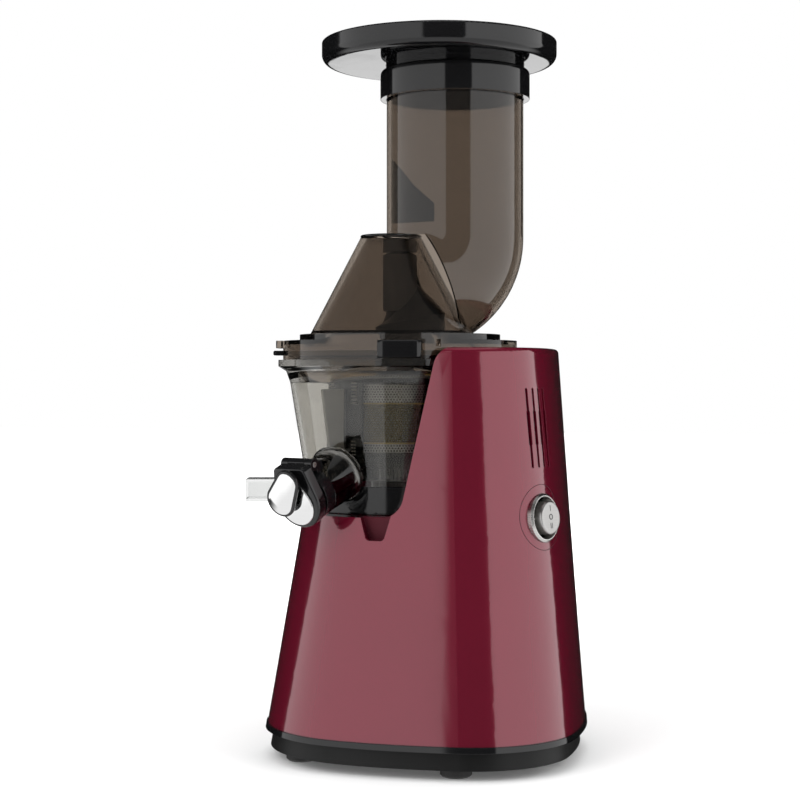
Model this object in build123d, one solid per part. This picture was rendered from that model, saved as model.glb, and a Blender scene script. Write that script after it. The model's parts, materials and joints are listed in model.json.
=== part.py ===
"""Vertical cold press juicer: motor base, geared drive, juicing bowl, lid with feed tube, hopper tray.

Millimetres, +Z up, -Y is the front and +X the right-hand side of a person facing the machine.
Everything is built about the drive axis and moved at the end, so that the origin is the middle of
the footprint on the surface that the feet stand on.
"""
import os
from math import asin, atan2, cos, degrees, pi, radians, sin, sqrt, tan

from build123d import *

# ---------------------------------------------------------------- driving dimensions
ORIGIN_X = 10.86               # footprint centre, right of the drive axis
ORIGIN_Y = 3.1                 # footprint centre, behind the drive axis

# clearances
RUN_GAP = 0.05                 # radial, shaft in bush
SOFT_GAP = 0.3                 # between bodies that come apart or slide
SEAT_GAP = 0.3                 # under a part that rests on another body
WALL = 3.0                     # moulded housing
CLEAR_WALL = 2.6               # transparent mouldings

# heights
FOOT_H = 6.0
TRAY_H = 11.0                  # base tray, above the feet
BAND_H = 3.5                   # trim band between tray and housing
SEAT_Z = 151.0                 # where the bowl stands
BOWL_HIGH_Z = 231.0            # top of the bowl's conical wall
HOUSING_TOP_Z = BOWL_HIGH_Z + 21.0

# housing plan: three corner arcs (x, y, radius) at the bottom and at the top
BASE_LEFT_ARC = (-5.5, -18.0, 72.5)
BASE_RIGHT_ARC = (51.0, -24.5, 66.0)
BASE_BACK_ARC = (27.0, 23.0, 86.0)
TOP_LEFT_ARC = (9.0, -28.0, 42.0)
TOP_RIGHT_ARC = (43.8, -18.4, 51.6)
TOP_BACK_ARC = (24.0, 26.0, 72.0)
PLAN_POINTS = 26
TOP_EDGE_R = 3.0

# bowl seat cut into the housing
RECESS_R = 64.0                # at the seat
RECESS_TOP_R = 80.5            # at the housing top
WING_X = 20.7                  # front wing edge at the seat, right of the axis
WING_LEAN = 0.208              # mm to the right for each mm up
REAR_EDGE_X = -34.0            # rear edge of the column at the seat
REAR_LEAN = 0.30
CUT_CORNER_R = 14.0
CUT_BROW = 1.2                 # level part of the cut, above the housing top
SCOOP_X = 6.1
SCOOP_TOP_W = 21.0
SCOOP_LOW_W = 11.0
SCOOP_DROP = 13.4              # its lower edge, under the seat
SCOOP_DEEP = 7.0
SCOOP_R = 3.0

# feet and screws
FOOT_R = 9.5
FOOT_PLACES = ((-48.0, -53.0), (53.4, -72.0), (-16.0, 74.0), (70.0, 74.0))
SCREW_R = 2.0
SCREW_PILOT_R = 1.7
SCREW_HEAD_R = 3.8
SCREW_HEAD_H = 2.2
SCREW_BOSS_R = 5.0
SCREW_IN = 12.0                # screw axis inside the housing outline
SCREW_BEARINGS = (-75.0, 75.0, 115.0, -115.0)
TRAY_INSET = 4.5               # base tray inside the housing outline

# motor
MOTOR_Z = 36.0                 # underside of the lower bracket
BRACKET_H = 11.0
STACK_H = 38.0
STACK_R = 43.0
STACK_BORE_R = 22.9
ROTOR_AIR_GAP = 0.4
SLOT_COUNT = 12
SHAFT_R = 4.0
BEARING_R = 11.0
BEARING_H = 7.0
BOLT_R = 2.0
BOLT_CIRCLE = 39.5
FAN_R = 33.0
FAN_H = 9.0
FAN_BLADES = 9

# gearbox: two stages on one centre distance, so that the output is in line with the motor
GEAR_CENTRES = 40.0
GEAR_BEARING_DEG = 31.0        # direction of the layshaft from the drive axis
PINION_TEETH = 13
WHEEL_TEETH = 67
PINION2_TEETH = 12
WHEEL2_TEETH = 52
STAGE1_FACE = 12.0
STAGE2_FACE = 16.0
GEAR_SHIFT = 0.3               # profile shift of pinion (+) and wheel (-)
BACKLASH = 0.12                # arc thinned off each tooth
GEARBOX_WALL = 3.0
GEARBOX_FLOOR = 4.0
COVER_H = 5.0

# drive shaft
DRIVE_R = 7.0
HEX_FLATS = 11.0
HEX_TOP_Z = 205.0

# bowl
BOWL_FOOT_R = 58.8
BOWL_FLOOR_Z = 168.0
BOWL_FLOOR_H = 3.5
BOWL_LOW_R = 59.4
BOWL_HIGH_R = 69.6
FLANGE_R = 77.0
FLANGE_Z = BOWL_HIGH_Z + 10.0
FLANGE_H = 4.0
RIM_R = 69.5
RIM_TOP_Z = FLANGE_Z + 9.0
HUB_HOLE_R = 12.0
HUB_NECK_R = 9.9

# bowl gears
BOWL_MODULE = 1.5
SUN_TEETH = 24
IDLER_TEETH = 16
IDLER_BEARINGS = (54.0, 144.0)
IDLER_PIN_R = 2.5
RING_R = 47.3
BOWL_GEAR_H = 6.6

# strainer and brush
STRAINER_R = 45.2
STRAINER_WALL = 2.4
STRAINER_TOP_Z = FLANGE_Z + 5.0
STRAINER_RIBS = 12
MESH_WALL = 0.5
BRUSH_R = 49.3
BRUSH_WALL = 2.4
BRUSH_TOP_Z = BOWL_HIGH_Z + 6.0
BRUSH_ARMS = 3
BRUSH_ARM_DEG = 34.0
WIPER_T = 2.0

# auger
AUGER_R = 41.6
AUGER_CORE_R = 25.0
AUGER_CORE_TOP_R = 13.0
AUGER_TURNS_DEG = 560.0
AUGER_FLIGHT_DEG = 26.0
AUGER_BODY_TOP_Z = STRAINER_TOP_Z + 16.0
AUGER_NECK_R = 9.0
AUGER_TIP_Z = AUGER_BODY_TOP_Z + 50.0
TIP_PIN_R = 4.0

# nozzles
JUICE_DEG = -22.0              # bearing from the front, minus is to the left
JUICE_DROP_DEG = 22.0
JUICE_R = 13.8
JUICE_BORE_R = 9.0
COLLAR_EXTRA = 2.5             # root collar of the juice nozzle
JUICE_Z = 177.5
JUICE_LENGTH = 39.0
PULP_DEG = -75.0
PULP_W = 24.0
PULP_H = 12.0
PULP_RISE = 2.0                # the duct outside the bowl, above the bowl's floor
PULP_WALL = 1.8
PULP_REACH = 97.0
PULP_IN = 23.0
PULP_MOUTH = 15.0

# juice cap, sizes across and along its face
CAP_W = 33.0
CAP_UP = 22.0
CAP_T = 7.0
CAP_PIN_R = 1.6
CAP_HINGE_UP = 20.0
CAP_HINGE_BACK = 4.2
FACE_W = 20.0
FACE_LONG = 30.0
LEVER_W = 17.0
LEVER_LONG = 27.0
LEVER_T = 3.0
LEVER_OFF = 8.0

# lid
LID_R = 74.0
LID_SKIRT_Z = FLANGE_Z + FLANGE_H + SEAT_GAP
LID_TOP_Z = LID_SKIRT_Z + 11.7
LID_RING_R = 63.5
LID_RING_H = 4.0
LUG_R = 78.5
LUG_Z = LID_SKIRT_Z + 7.2
LUG_H = 4.5
LUG_DEG = 24.0
LUG_BEARINGS = (-75.0, 45.0, 165.0)
HUMP_R = 55.5
HUMP_TOP_R = 19.0
HUMP_TOP_Z = AUGER_TIP_Z + 11.0
HUMP_X = -5.0
HUMP_Y = -3.0
WINDOW_FROM_DEG = 21.0         # opening in the hump's wall towards the feed tube
WINDOW_TO_DEG = 112.0
WINDOW_LOW_Z = LID_TOP_Z + 6.0
WINDOW_HIGH_Z = HUMP_TOP_Z - 7.0

# feed tube and hopper tray
TUBE_X = 31.4
TUBE_Y = 18.8
TUBE_R = 43.7
HOPPER_TOP_Z = 448.0
TUBE_TOP_Z = HOPPER_TOP_Z - 20.0
ELBOW_OFFSET = 29.0            # elbow pivot from the tube axis
COLLAR_R = 47.7
COLLAR_Z = HOPPER_TOP_Z - 36.5
COLLAR_LAND_Z = TUBE_TOP_Z + SEAT_GAP
SLEEVE_WALL = 2.4
HOPPER_R = 75.0
HOPPER_X = -9.7                # tray centre from the tube axis
HOPPER_Y = -3.0
HOPPER_PLATE_Z = HOPPER_TOP_Z - 14.2  # flat underside of the tray
HOPPER_EDGE_R = 6.0            # rounding from the underside to the side
HOPPER_WALL = 3.0
COLLAR_TOP_Z = HOPPER_PLATE_Z - 3.6
COLLAR_EDGE_R = 3.2
NECK_R = 44.2                  # between the collar's shoulder and the plate
SLEEVE_Z = COLLAR_Z + 2.0

# switch on the right-hand side
SWITCH_DEG = 67.0
SWITCH_Z = 150.3
BEZEL_R = 14.5
BEZEL_DISH_R = 12.8            # rim of the dish round the switch cap
BEZEL_DISH_H = 4.5
BEZEL_HOLE_R = 13.0
BEZEL_PROUD = 2.0
BEZEL_SUNK = 1.8               # flange let into the curved wall
SWITCH_CAP_R = 9.9
SWITCH_CAP_PROUD = 5.6
SWITCH_BORE_R = SWITCH_CAP_R + 1.2

# louvres on the right-hand side
VENT_DEG = 69.5
VENT_COUNT = 4
VENT_PITCH = 6.1
VENT_W = 2.0
VENT_MID_W = 3.0               # wider middle of each slot
VENT_MID_H = 20.0
VENT_LOW_Z = HOUSING_TOP_Z - 72.0
VENT_HIGH_Z = HOUSING_TOP_Z - 24.0

# cord gland in the rear wall
GLAND_Z = 40.0
GLAND_R = 7.0
GLAND_FLANGE_R = 9.5
GLAND_BORE_R = 3.6
GLAND_PROUD = 2.0

# ---------------------------------------------------------------- derived values
BAND_Z = FOOT_H + TRAY_H
HOUSING_Z = BAND_Z + BAND_H
GEAR_X = GEAR_CENTRES * cos(radians(GEAR_BEARING_DEG))
GEAR_Y = GEAR_CENTRES * sin(radians(GEAR_BEARING_DEG))
MODULE1 = 2 * GEAR_CENTRES / (PINION_TEETH + WHEEL_TEETH)
MODULE2 = 2 * GEAR_CENTRES / (PINION2_TEETH + WHEEL2_TEETH)
STACK_Z = MOTOR_Z + BRACKET_H
UPPER_BRACKET_Z = STACK_Z + STACK_H
GEARBOX_Z = UPPER_BRACKET_Z + BRACKET_H
STAGE1_Z = GEARBOX_Z + GEARBOX_FLOOR + 1.0
STAGE2_Z = STAGE1_Z + STAGE1_FACE + 1.5
COVER_Z = SEAT_Z - WALL - COVER_H - 0.3
RING_TEETH = SUN_TEETH + 2 * IDLER_TEETH
IDLER_CENTRES = BOWL_MODULE * (SUN_TEETH + IDLER_TEETH) / 2
FLOOR_TOP_Z = BOWL_FLOOR_Z + BOWL_FLOOR_H
BOWL_GEAR_Z = FLOOR_TOP_Z + SEAT_GAP
STRAINER_Z = BOWL_GEAR_Z + BOWL_GEAR_H + SEAT_GAP
STRAINER_FLOOR_H = 3.0
AUGER_Z = STRAINER_Z + STRAINER_FLOOR_H + SEAT_GAP
HUB_R = 16.0


# ---------------------------------------------------------------- helpers
def cyl(r, z0, z1, x=0.0, y=0.0):
    """Upright cylinder between two heights."""
    return Pos(x, y, (z0 + z1) / 2) * Cylinder(r, z1 - z0)


def tube(r_out, r_in, z0, z1, x=0.0, y=0.0):
    """Upright tube between two heights."""
    return cyl(r_out, z0, z1, x, y) - cyl(r_in, z0 - 1, z1 + 1, x, y)


def block(x0, x1, y0, y1, z0, z1):
    """Box between two corners."""
    return Pos((x0 + x1) / 2, (y0 + y1) / 2, (z0 + z1) / 2) * Box(x1 - x0, y1 - y0, z1 - z0)


def turned(*profile):
    """Solid of revolution about the drive axis from (radius, height) corners."""
    face = Plane.XZ * make_face(Polyline(*profile, close=True))
    return revolve(face, Axis.Z, 360)


def bearing(deg):
    """Unit vector of a bearing counted from the front, positive to the right."""
    return Vector(sin(radians(deg)), -cos(radians(deg)), 0)


def around(shape, deg):
    """A shape turned about the drive axis."""
    return Rot(0, 0, deg) * shape


def plan_arcs(z):
    """The three corner arcs (x, y, radius) of the housing's plan at height z."""
    share = (z - HOUSING_Z) / (HOUSING_TOP_Z - HOUSING_Z)
    ends = ((BASE_LEFT_ARC, TOP_LEFT_ARC), (BASE_RIGHT_ARC, TOP_RIGHT_ARC), (BASE_BACK_ARC, TOP_BACK_ARC))
    return [tuple(a + share * (b - a) for a, b in zip(low, high)) for low, high in ends]


def plan(z, inset=0.0):
    """Rounded outline of the housing at height z: a smooth curve round its three corner arcs."""
    points = []
    for i in range(PLAN_POINTS):
        out = bearing(360 * (i + 0.5) / PLAN_POINTS)
        x, y, r = max(plan_arcs(z), key=lambda arc: arc[0] * out.X + arc[1] * out.Y + arc[2])
        points.append((x + (r - inset) * out.X, y + (r - inset) * out.Y))
    return Plane.XY.offset(z) * make_face(Spline(*points, periodic=True))


def tower(z0, z1, inset=0.0):
    """Tapered solid of the housing's plan between two heights."""
    return loft([plan(z0, inset), plan(z1, inset)], ruled=True)


def surface_point(deg, z):
    """Point and outward normal of the housing's skin, on a bearing from its right-hand arc."""
    skin = tower(z - 10, z + 10)
    start = Vector(*plan_arcs(z)[1][:2], z)
    ray = Line(start, start + bearing(deg) * 200)
    hit = (ray & skin).edges()[0] @ 1
    side = skin.faces().sort_by(Axis.Z)[1]
    return hit, side.normal_at(hit)


def involute_gear(teeth, module, face, shift=0.0, phase=0.0, internal=False):
    """Spur gear solid from z = 0 up; an internal one returns the toothed hole as a solid."""
    pitch_r = module * teeth / 2
    base_r = pitch_r * cos(radians(20))
    add = 1.25 if internal else 1.0
    ded = 1.0 if internal else 1.25
    tip_r = pitch_r + module * (add + shift)
    root_r = pitch_r - module * (ded - shift)
    tan20 = tan(radians(20))
    half_pitch = pi / (2 * teeth) + 2 * shift * tan20 / teeth
    half_pitch += (BACKLASH if internal else -BACKLASH) / (2 * pitch_r)
    inv20 = tan20 - radians(20)

    def half_angle(r):
        if r <= base_r:
            return half_pitch + inv20
        press = sqrt((r / base_r) ** 2 - 1)
        return half_pitch + inv20 - (press - atan2(press, 1))

    start_r = max(root_r, base_r)
    steps = 3
    radii = [start_r + (tip_r - start_r) * i / steps for i in range(steps + 1)]
    if root_r < base_r:
        radii.insert(0, root_r)
    corners = []
    for tooth in range(teeth):
        mid = radians(phase) + 2 * pi * tooth / teeth
        for r in radii:
            corners.append((r * cos(mid - half_angle(r)), r * sin(mid - half_angle(r))))
        for r in reversed(radii):
            corners.append((r * cos(mid + half_angle(r)), r * sin(mid + half_angle(r))))
    return extrude(make_face(Polyline(*corners, close=True)), face)


def mesh_phase(teeth, partner_teeth, partner_phase, deg):
    """Phase that puts a gap of a gear at bearing deg of its partner opposite the partner's tooth."""
    turned_by = (deg - partner_phase) * partner_teeth
    return deg + 180 - (180 - turned_by) / teeth


# ---------------------------------------------------------------- housing and base
def recess(grow=0.0):
    """The space cut for the bowl: a cone round the drive axis, open to the front left."""
    lift = 60.0
    lean = (RECESS_TOP_R - RECESS_R) / (HOUSING_TOP_Z - SEAT_Z)
    low = SEAT_Z - grow
    high = HOUSING_TOP_Z + lift
    cone = turned(
        (0, low),
        (RECESS_R + grow, low),
        (RECESS_TOP_R + lean * lift + grow, high),
        (0, high),
    )
    reach = 250.0
    brow = HOUSING_TOP_Z + CUT_BROW
    brow_x = WING_X + grow + WING_LEAN * (brow - low)
    wing = Plane.XZ * make_face(
        FilletPolyline(
            (-reach, high),
            (-reach, low),
            (WING_X + grow, low),
            (brow_x, brow),
            (brow_x + 3 * CUT_CORNER_R, brow),
            (brow_x + 3 * CUT_CORNER_R, high),
            radius=CUT_CORNER_R,
            close=True,
        )
    )
    rear = Plane.XZ * make_face(
        FilletPolyline(
            (-reach, high),
            (-reach, low),
            (REAR_EDGE_X + grow, low),
            (REAR_EDGE_X + grow + REAR_LEAN * (high - low), high),
            radius=CUT_CORNER_R,
            close=True,
        )
    )
    return cone + extrude(wing, reach) + extrude(rear, -reach)


def vent_frame():
    """Plane on the skin in the middle of the louvres, y upwards and z outwards."""
    at, out = surface_point(VENT_DEG, (VENT_LOW_Z + VENT_HIGH_Z) / 2)
    return Plane(at, x_dir=Vector(0, 0, 1).cross(out), z_dir=out)


def louvres():
    """Upright slots through the right-hand wall of the column."""
    slots = []
    for i in range(VENT_COUNT):
        x = (i - (VENT_COUNT - 1) / 2) * VENT_PITCH
        slot = SlotOverall(VENT_HIGH_Z - VENT_LOW_Z, VENT_W, rotation=90) + Rectangle(VENT_MID_W, VENT_MID_H)
        slots.append(vent_frame() * Pos(x, 0, -12) * extrude(slot, 24))
    return slots


def screw_places():
    """Positions of the four base screws as (x, y, bearing), inside the plan's corner arcs."""
    places = []
    for deg in SCREW_BEARINGS:
        out = bearing(deg)
        x, y, r = max(plan_arcs(HOUSING_Z), key=lambda arc: arc[0] * out.X + arc[1] * out.Y + arc[2])
        places.append((x + (r - SCREW_IN) * out.X, y + (r - SCREW_IN) * out.Y, deg))
    return places


def scoop_pocket(grow):
    """Thumb scoop in the front wall, open to the bowl's seat; grown by a wall for its lining."""
    top = SEAT_Z + 4 if grow == 0 else SEAT_Z - 0.5
    low = SEAT_Z - SCOOP_DROP - grow
    half_top, half_low = SCOOP_TOP_W / 2 + grow, SCOOP_LOW_W / 2 + grow
    profile = FilletPolyline(
        (SCOOP_X - half_top, top),
        (SCOOP_X - half_low, low),
        (SCOOP_X + half_low, low),
        (SCOOP_X + half_top, top),
        radius=SCOOP_R + grow,
    )
    face = Plane.XZ * make_face([*profile.edges(), *Line(profile @ 1, profile @ 0).edges()])
    x, y, r = plan_arcs(SEAT_Z)[0]
    return Pos(0, y - r + SCOOP_DEEP + grow, 0) * extrude(face, 40)


def body_housing(switch_frame):
    outer = tower(HOUSING_Z, HOUSING_TOP_Z)
    outer = fillet(outer.edges().group_by(Axis.Z)[-1], TOP_EDGE_R)
    inner = tower(HOUSING_Z - 1, HOUSING_TOP_Z - WALL, WALL)
    shell = (outer - recess()) - (inner - recess(WALL))
    shell = shell + ((scoop_pocket(WALL) & outer) - scoop_pocket(0)) - scoop_pocket(0)
    for x, y, deg in screw_places():
        boss = cyl(SCREW_BOSS_R, HOUSING_Z, HOUSING_Z + 26, x, y)
        rib = Pos(x, y, HOUSING_Z) * around(block(-1.3, 1.3, -SCREW_IN, 0, 0, 24), deg)
        shell = shell + ((boss + rib) & outer) - cyl(SCREW_PILOT_R, HOUSING_Z - 1, HOUSING_Z + 20, x, y)
    for slot in louvres():
        shell = shell - slot
    shell = shell - cyl(DRIVE_R + 5.0, SEAT_Z - WALL - 1, SEAT_Z + 1)
    sunk = Pos(0, 0, 10 - BEZEL_SUNK) * Cylinder(BEZEL_R + RUN_GAP, 20)
    shell = shell - switch_frame * (Cylinder(BEZEL_HOLE_R, 30) + sunk)
    seat = Pos(0, 0, -5) * Cylinder(GLAND_FLANGE_R + RUN_GAP, 10)
    return shell - gland_place() * (Cylinder(GLAND_R, 40) + seat)


def base_tray():
    outer = tower(FOOT_H, BAND_Z, TRAY_INSET)
    inner = tower(FOOT_H + WALL, BAND_Z + 1, TRAY_INSET + WALL)
    tray = outer - inner
    for x, y, _ in screw_places():
        tray = tray + (cyl(SCREW_BOSS_R + 1, FOOT_H, HOUSING_Z, x, y) & tower(FOOT_H, HOUSING_Z, TRAY_INSET))
        tray = tray - cyl(SCREW_R + 0.2, FOOT_H - 1, HOUSING_Z + 1, x, y)
        tray = tray - cyl(SCREW_HEAD_R + 0.4, FOOT_H - 1, FOOT_H + SCREW_HEAD_H + 0.4, x, y)
    for x, y in mount_places():
        tray = tray + cyl(9.0, FOOT_H, MOTOR_Z - 10, x, y)
    for i in range(7):
        y = -24 + i * 8
        tray = tray - block(-30, 30, y - 1.6, y + 1.6, FOOT_H - 1, FOOT_H + WALL + 1)
    return tray


def mount_places():
    """The four rubber mounts under the motor."""
    r = BOLT_CIRCLE + 9
    return [(r * cos(radians(a)), r * sin(radians(a))) for a in (45, 135, 225, 315)]


def trim_band():
    outer = tower(BAND_Z, HOUSING_Z, -0.8)
    band = outer - tower(BAND_Z - 1, HOUSING_Z + 1, 9.0)
    for x, y, _ in screw_places():
        band = band - cyl(SCREW_BOSS_R + 1.3, BAND_Z - 1, HOUSING_Z + 1, x, y)
    return band


def rubber_feet():
    feet = []
    for x, y in FOOT_PLACES:
        foot = cyl(FOOT_R, 0, FOOT_H, x, y)
        feet.append(chamfer(foot.edges().group_by(Axis.Z)[0], 1.2))
    return feet


def base_screws():
    screws = []
    for x, y, _ in screw_places():
        head = cyl(SCREW_HEAD_R, FOOT_H + 0.4, FOOT_H + 0.4 + SCREW_HEAD_H, x, y)
        screws.append(head + cyl(SCREW_PILOT_R, FOOT_H + 1, HOUSING_Z + 18, x, y))
    return screws


def gland_place():
    """Place of the gland at the rearmost point of the plan, z pointing into the housing."""
    x, y, r = plan_arcs(GLAND_Z)[2]
    return Pos(x, y + r, GLAND_Z) * Rot(90, 0, 0)


def cord_gland():
    body = Cylinder(GLAND_R - RUN_GAP, 16) + Pos(0, 0, -GLAND_PROUD) * Cylinder(GLAND_FLANGE_R, 2 * GLAND_PROUD)
    nose = Pos(0, 0, -GLAND_PROUD - 4) * Cylinder(GLAND_R - 1.5, 6)
    gland = body + nose - Cylinder(GLAND_BORE_R, 60)
    return gland_place() * gland


# ---------------------------------------------------------------- motor
def motor_stator():
    stack = tube(STACK_R, STACK_BORE_R, STACK_Z, UPPER_BRACKET_Z)
    for i in range(SLOT_COUNT):
        slot = block(STACK_BORE_R - 2, STACK_BORE_R + 3, -1.2, 1.2, STACK_Z - 1, UPPER_BRACKET_Z + 1)
        pocket = cyl(3.4, STACK_Z - 1, UPPER_BRACKET_Z + 1, STACK_BORE_R + 6, 0)
        stack = stack - around(slot + pocket, i * 360 / SLOT_COUNT)
    for x, y in bolt_places():
        stack = stack - cyl(BOLT_R + 0.1, STACK_Z - 1, UPPER_BRACKET_Z + 1, x, y)
    return stack


def bolt_places():
    return [(BOLT_CIRCLE * cos(radians(a)), BOLT_CIRCLE * sin(radians(a))) for a in (0, 90, 180, 270)]


def motor_windings():
    """Two end turns and the coil sides in the stator slots, as one potted copper winding."""
    ring_in, ring_out, ring_h = STACK_BORE_R + 2.5, STACK_BORE_R + 11.5, 7.0
    winding = tube(ring_out, ring_in, STACK_Z - ring_h, STACK_Z)
    winding = winding + tube(ring_out, ring_in, UPPER_BRACKET_Z, UPPER_BRACKET_Z + ring_h)
    for i in range(SLOT_COUNT):
        side = cyl(3.1, STACK_Z - 1, UPPER_BRACKET_Z + 1, STACK_BORE_R + 6, 0)
        winding = winding + around(side, i * 360 / SLOT_COUNT)
    return winding


def end_bracket(z0, face_up):
    """Cast end bracket: a cup over the end turns with a bearing seat in its middle."""
    z1 = z0 + BRACKET_H
    cup = cyl(STACK_R, z0, z1)
    if face_up:
        cup = cup - tube(STACK_R - 8, BEARING_R + 3, z0 + 3, z1 + 1)
    else:
        cup = cup - tube(STACK_R - 8, BEARING_R + 3, z0 - 1, z1 - 3)
    cup = cup - cyl(BEARING_R, z0 - 1, z1 + 1)
    for i in range(6):
        cup = cup - around(cyl(4.0, z0 - 1, z1 + 1, STACK_R - 18, 0), 30 + i * 60)
    for x, y in bolt_places():
        cup = cup - cyl(BOLT_R + 0.1, z0 - 1, z1 + 1, x, y)
    return cup


def motor_lower_bracket():
    bracket = end_bracket(MOTOR_Z, True)
    for x, y in mount_places():
        ear = cyl(8.0, MOTOR_Z, MOTOR_Z + 4, x, y)
        web = Pos(x * 0.86, y * 0.86, MOTOR_Z + 2) * Rot(0, 0, degrees(atan2(y, x))) * Box(16, 12, 4)
        bracket = bracket + ear + (web - cyl(STACK_R - 4, MOTOR_Z - 1, MOTOR_Z + 9))
    return bracket


def motor_bolts():
    bolts = []
    for x, y in bolt_places():
        bolt = cyl(BOLT_R, MOTOR_Z - 1, GEARBOX_Z, x, y)
        bolts.append(bolt + cyl(BOLT_R * 1.8, MOTOR_Z - 3.5, MOTOR_Z, x, y))
    return bolts


def motor_mounts():
    return [cyl(7.0, MOTOR_Z - 10, MOTOR_Z, x, y) for x, y in mount_places()]


def ball_bearing(z0, r_in, r_out, h, x=0.0, y=0.0):
    """Ball bearing drawn as its two rings with the shield between them."""
    ring = tube(r_out, r_in + RUN_GAP, z0, z0 + h, x, y)
    groove = tube(r_out - 2.2, r_in + 2.2, z0 + h - 0.6, z0 + h + 1, x, y)
    return ring - groove


def motor_rotor():
    return tube(STACK_BORE_R - ROTOR_AIR_GAP, SHAFT_R, STACK_Z + 0.5, UPPER_BRACKET_Z - 0.5)


def motor_shaft():
    shaft = cyl(SHAFT_R, MOTOR_Z - 14, STAGE1_Z)
    pinion = involute_gear(PINION_TEETH, MODULE1, STAGE1_FACE + 1, GEAR_SHIFT, 0.0)
    return shaft + Pos(0, 0, STAGE1_Z - 0.5) * pinion


def cooling_fan():
    z0 = MOTOR_Z - 13
    hub = tube(9.0, SHAFT_R, z0, z0 + FAN_H)
    disc = tube(FAN_R, 8.5, z0 + FAN_H - 1.5, z0 + FAN_H)
    fan = hub + disc
    for i in range(FAN_BLADES):
        blade = block(8.5, FAN_R - 0.5, -0.9, 0.9, z0, z0 + FAN_H - 1)
        fan = fan + around(blade, i * 360 / FAN_BLADES)
    return fan


# ---------------------------------------------------------------- gearbox
def gearbox_outline(extra):
    """Rounded outline round both shafts."""
    big = Circle(MODULE2 * WHEEL2_TEETH / 2 + 2.5 + extra)
    side = Pos(GEAR_X, GEAR_Y) * Circle(MODULE1 * WHEEL_TEETH / 2 + 2.5 + extra)
    return make_hull((big + side).edges())


def gearbox_case():
    outline = gearbox_outline(GEARBOX_WALL)
    case = Pos(0, 0, GEARBOX_Z) * extrude(outline, COVER_Z - GEARBOX_Z)
    room = Pos(0, 0, GEARBOX_Z + GEARBOX_FLOOR) * extrude(gearbox_outline(0), 60)
    case = case - room
    case = case - cyl(BEARING_R - 3, GEARBOX_Z - 1, GEARBOX_Z + 9)
    case = case - cyl(SHAFT_R + 3.0, GEARBOX_Z - 1, GEARBOX_Z + 9, GEAR_X, GEAR_Y)
    for x, y in gearbox_screw_places():
        lug = cyl(4.5, GEARBOX_Z, COVER_Z, x, y) - room
        case = case + lug - cyl(SCREW_R - 0.3, COVER_Z - 14, COVER_Z + 1, x, y)
    return case


def gearbox_screw_places():
    r_big = MODULE2 * WHEEL2_TEETH / 2 + GEARBOX_WALL + 4
    r_side = MODULE1 * WHEEL_TEETH / 2 + GEARBOX_WALL + 4
    away = GEAR_BEARING_DEG + 180
    spots = []
    for a in (away - 62, away, away + 62):
        spots.append((r_big * cos(radians(a)), r_big * sin(radians(a))))
    for a in (GEAR_BEARING_DEG - 62, GEAR_BEARING_DEG, GEAR_BEARING_DEG + 62):
        spots.append((GEAR_X + r_side * cos(radians(a)), GEAR_Y + r_side * sin(radians(a))))
    return spots


def gearbox_cover():
    cover = Pos(0, 0, COVER_Z) * extrude(gearbox_outline(GEARBOX_WALL), COVER_H)
    for x, y in gearbox_screw_places():
        cover = cover + cyl(4.5, COVER_Z, COVER_Z + COVER_H, x, y)
        cover = cover - cyl(SCREW_R + 0.2, COVER_Z - 1, COVER_Z + COVER_H + 1, x, y)
        cover = cover - cyl(SCREW_HEAD_R + 0.2, COVER_Z + COVER_H - SCREW_HEAD_H, COVER_Z + COVER_H + 1, x, y)
    cover = cover - cyl(DRIVE_R + 3.0, COVER_Z - 1, COVER_Z + COVER_H + 1)
    return cover - cyl(SHAFT_R + 3.0, COVER_Z - 1, COVER_Z + COVER_H - 1.5, GEAR_X, GEAR_Y)


def gearbox_screws():
    screws = []
    for x, y in gearbox_screw_places():
        top = COVER_Z + COVER_H
        head = cyl(SCREW_HEAD_R, top - SCREW_HEAD_H, top, x, y)
        screws.append(head + cyl(SCREW_R - 0.3, COVER_Z - 12, top - 1, x, y))
    return screws


def gearbox_bushes():
    """Bronze bushes of the layshaft and of the drive shaft."""
    z_low = GEARBOX_Z
    return [
        tube(SHAFT_R + 3.0, SHAFT_R + RUN_GAP, z_low, z_low + GEARBOX_FLOOR, GEAR_X, GEAR_Y),
        tube(SHAFT_R + 3.0, SHAFT_R + RUN_GAP, COVER_Z, COVER_Z + COVER_H - 1.5, GEAR_X, GEAR_Y),
        tube(DRIVE_R + 3.0, DRIVE_R + RUN_GAP, COVER_Z, COVER_Z + COVER_H),
    ]


def reduction_gear():
    """Layshaft with the large first-stage wheel and the small second-stage pinion."""
    wheel_phase = mesh_phase(WHEEL_TEETH, PINION_TEETH, 0.0, GEAR_BEARING_DEG)
    wheel = involute_gear(WHEEL_TEETH, MODULE1, STAGE1_FACE, -GEAR_SHIFT, wheel_phase)
    recess_ring = tube(WHEEL_TEETH * MODULE1 / 2 - 5, 11, STAGE1_FACE - 2.5, STAGE1_FACE + 1)
    pinion = involute_gear(PINION2_TEETH, MODULE2, STAGE2_FACE + 2, GEAR_SHIFT, 0.0)
    gear = Pos(0, 0, STAGE1_Z) * (wheel - recess_ring)
    gear = gear + Pos(0, 0, STAGE1_Z + STAGE1_FACE - 0.5) * pinion
    shaft = cyl(SHAFT_R, GEARBOX_Z + 0.2, COVER_Z + COVER_H - 1.8)
    return Pos(GEAR_X, GEAR_Y, 0) * (gear + shaft)


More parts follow.
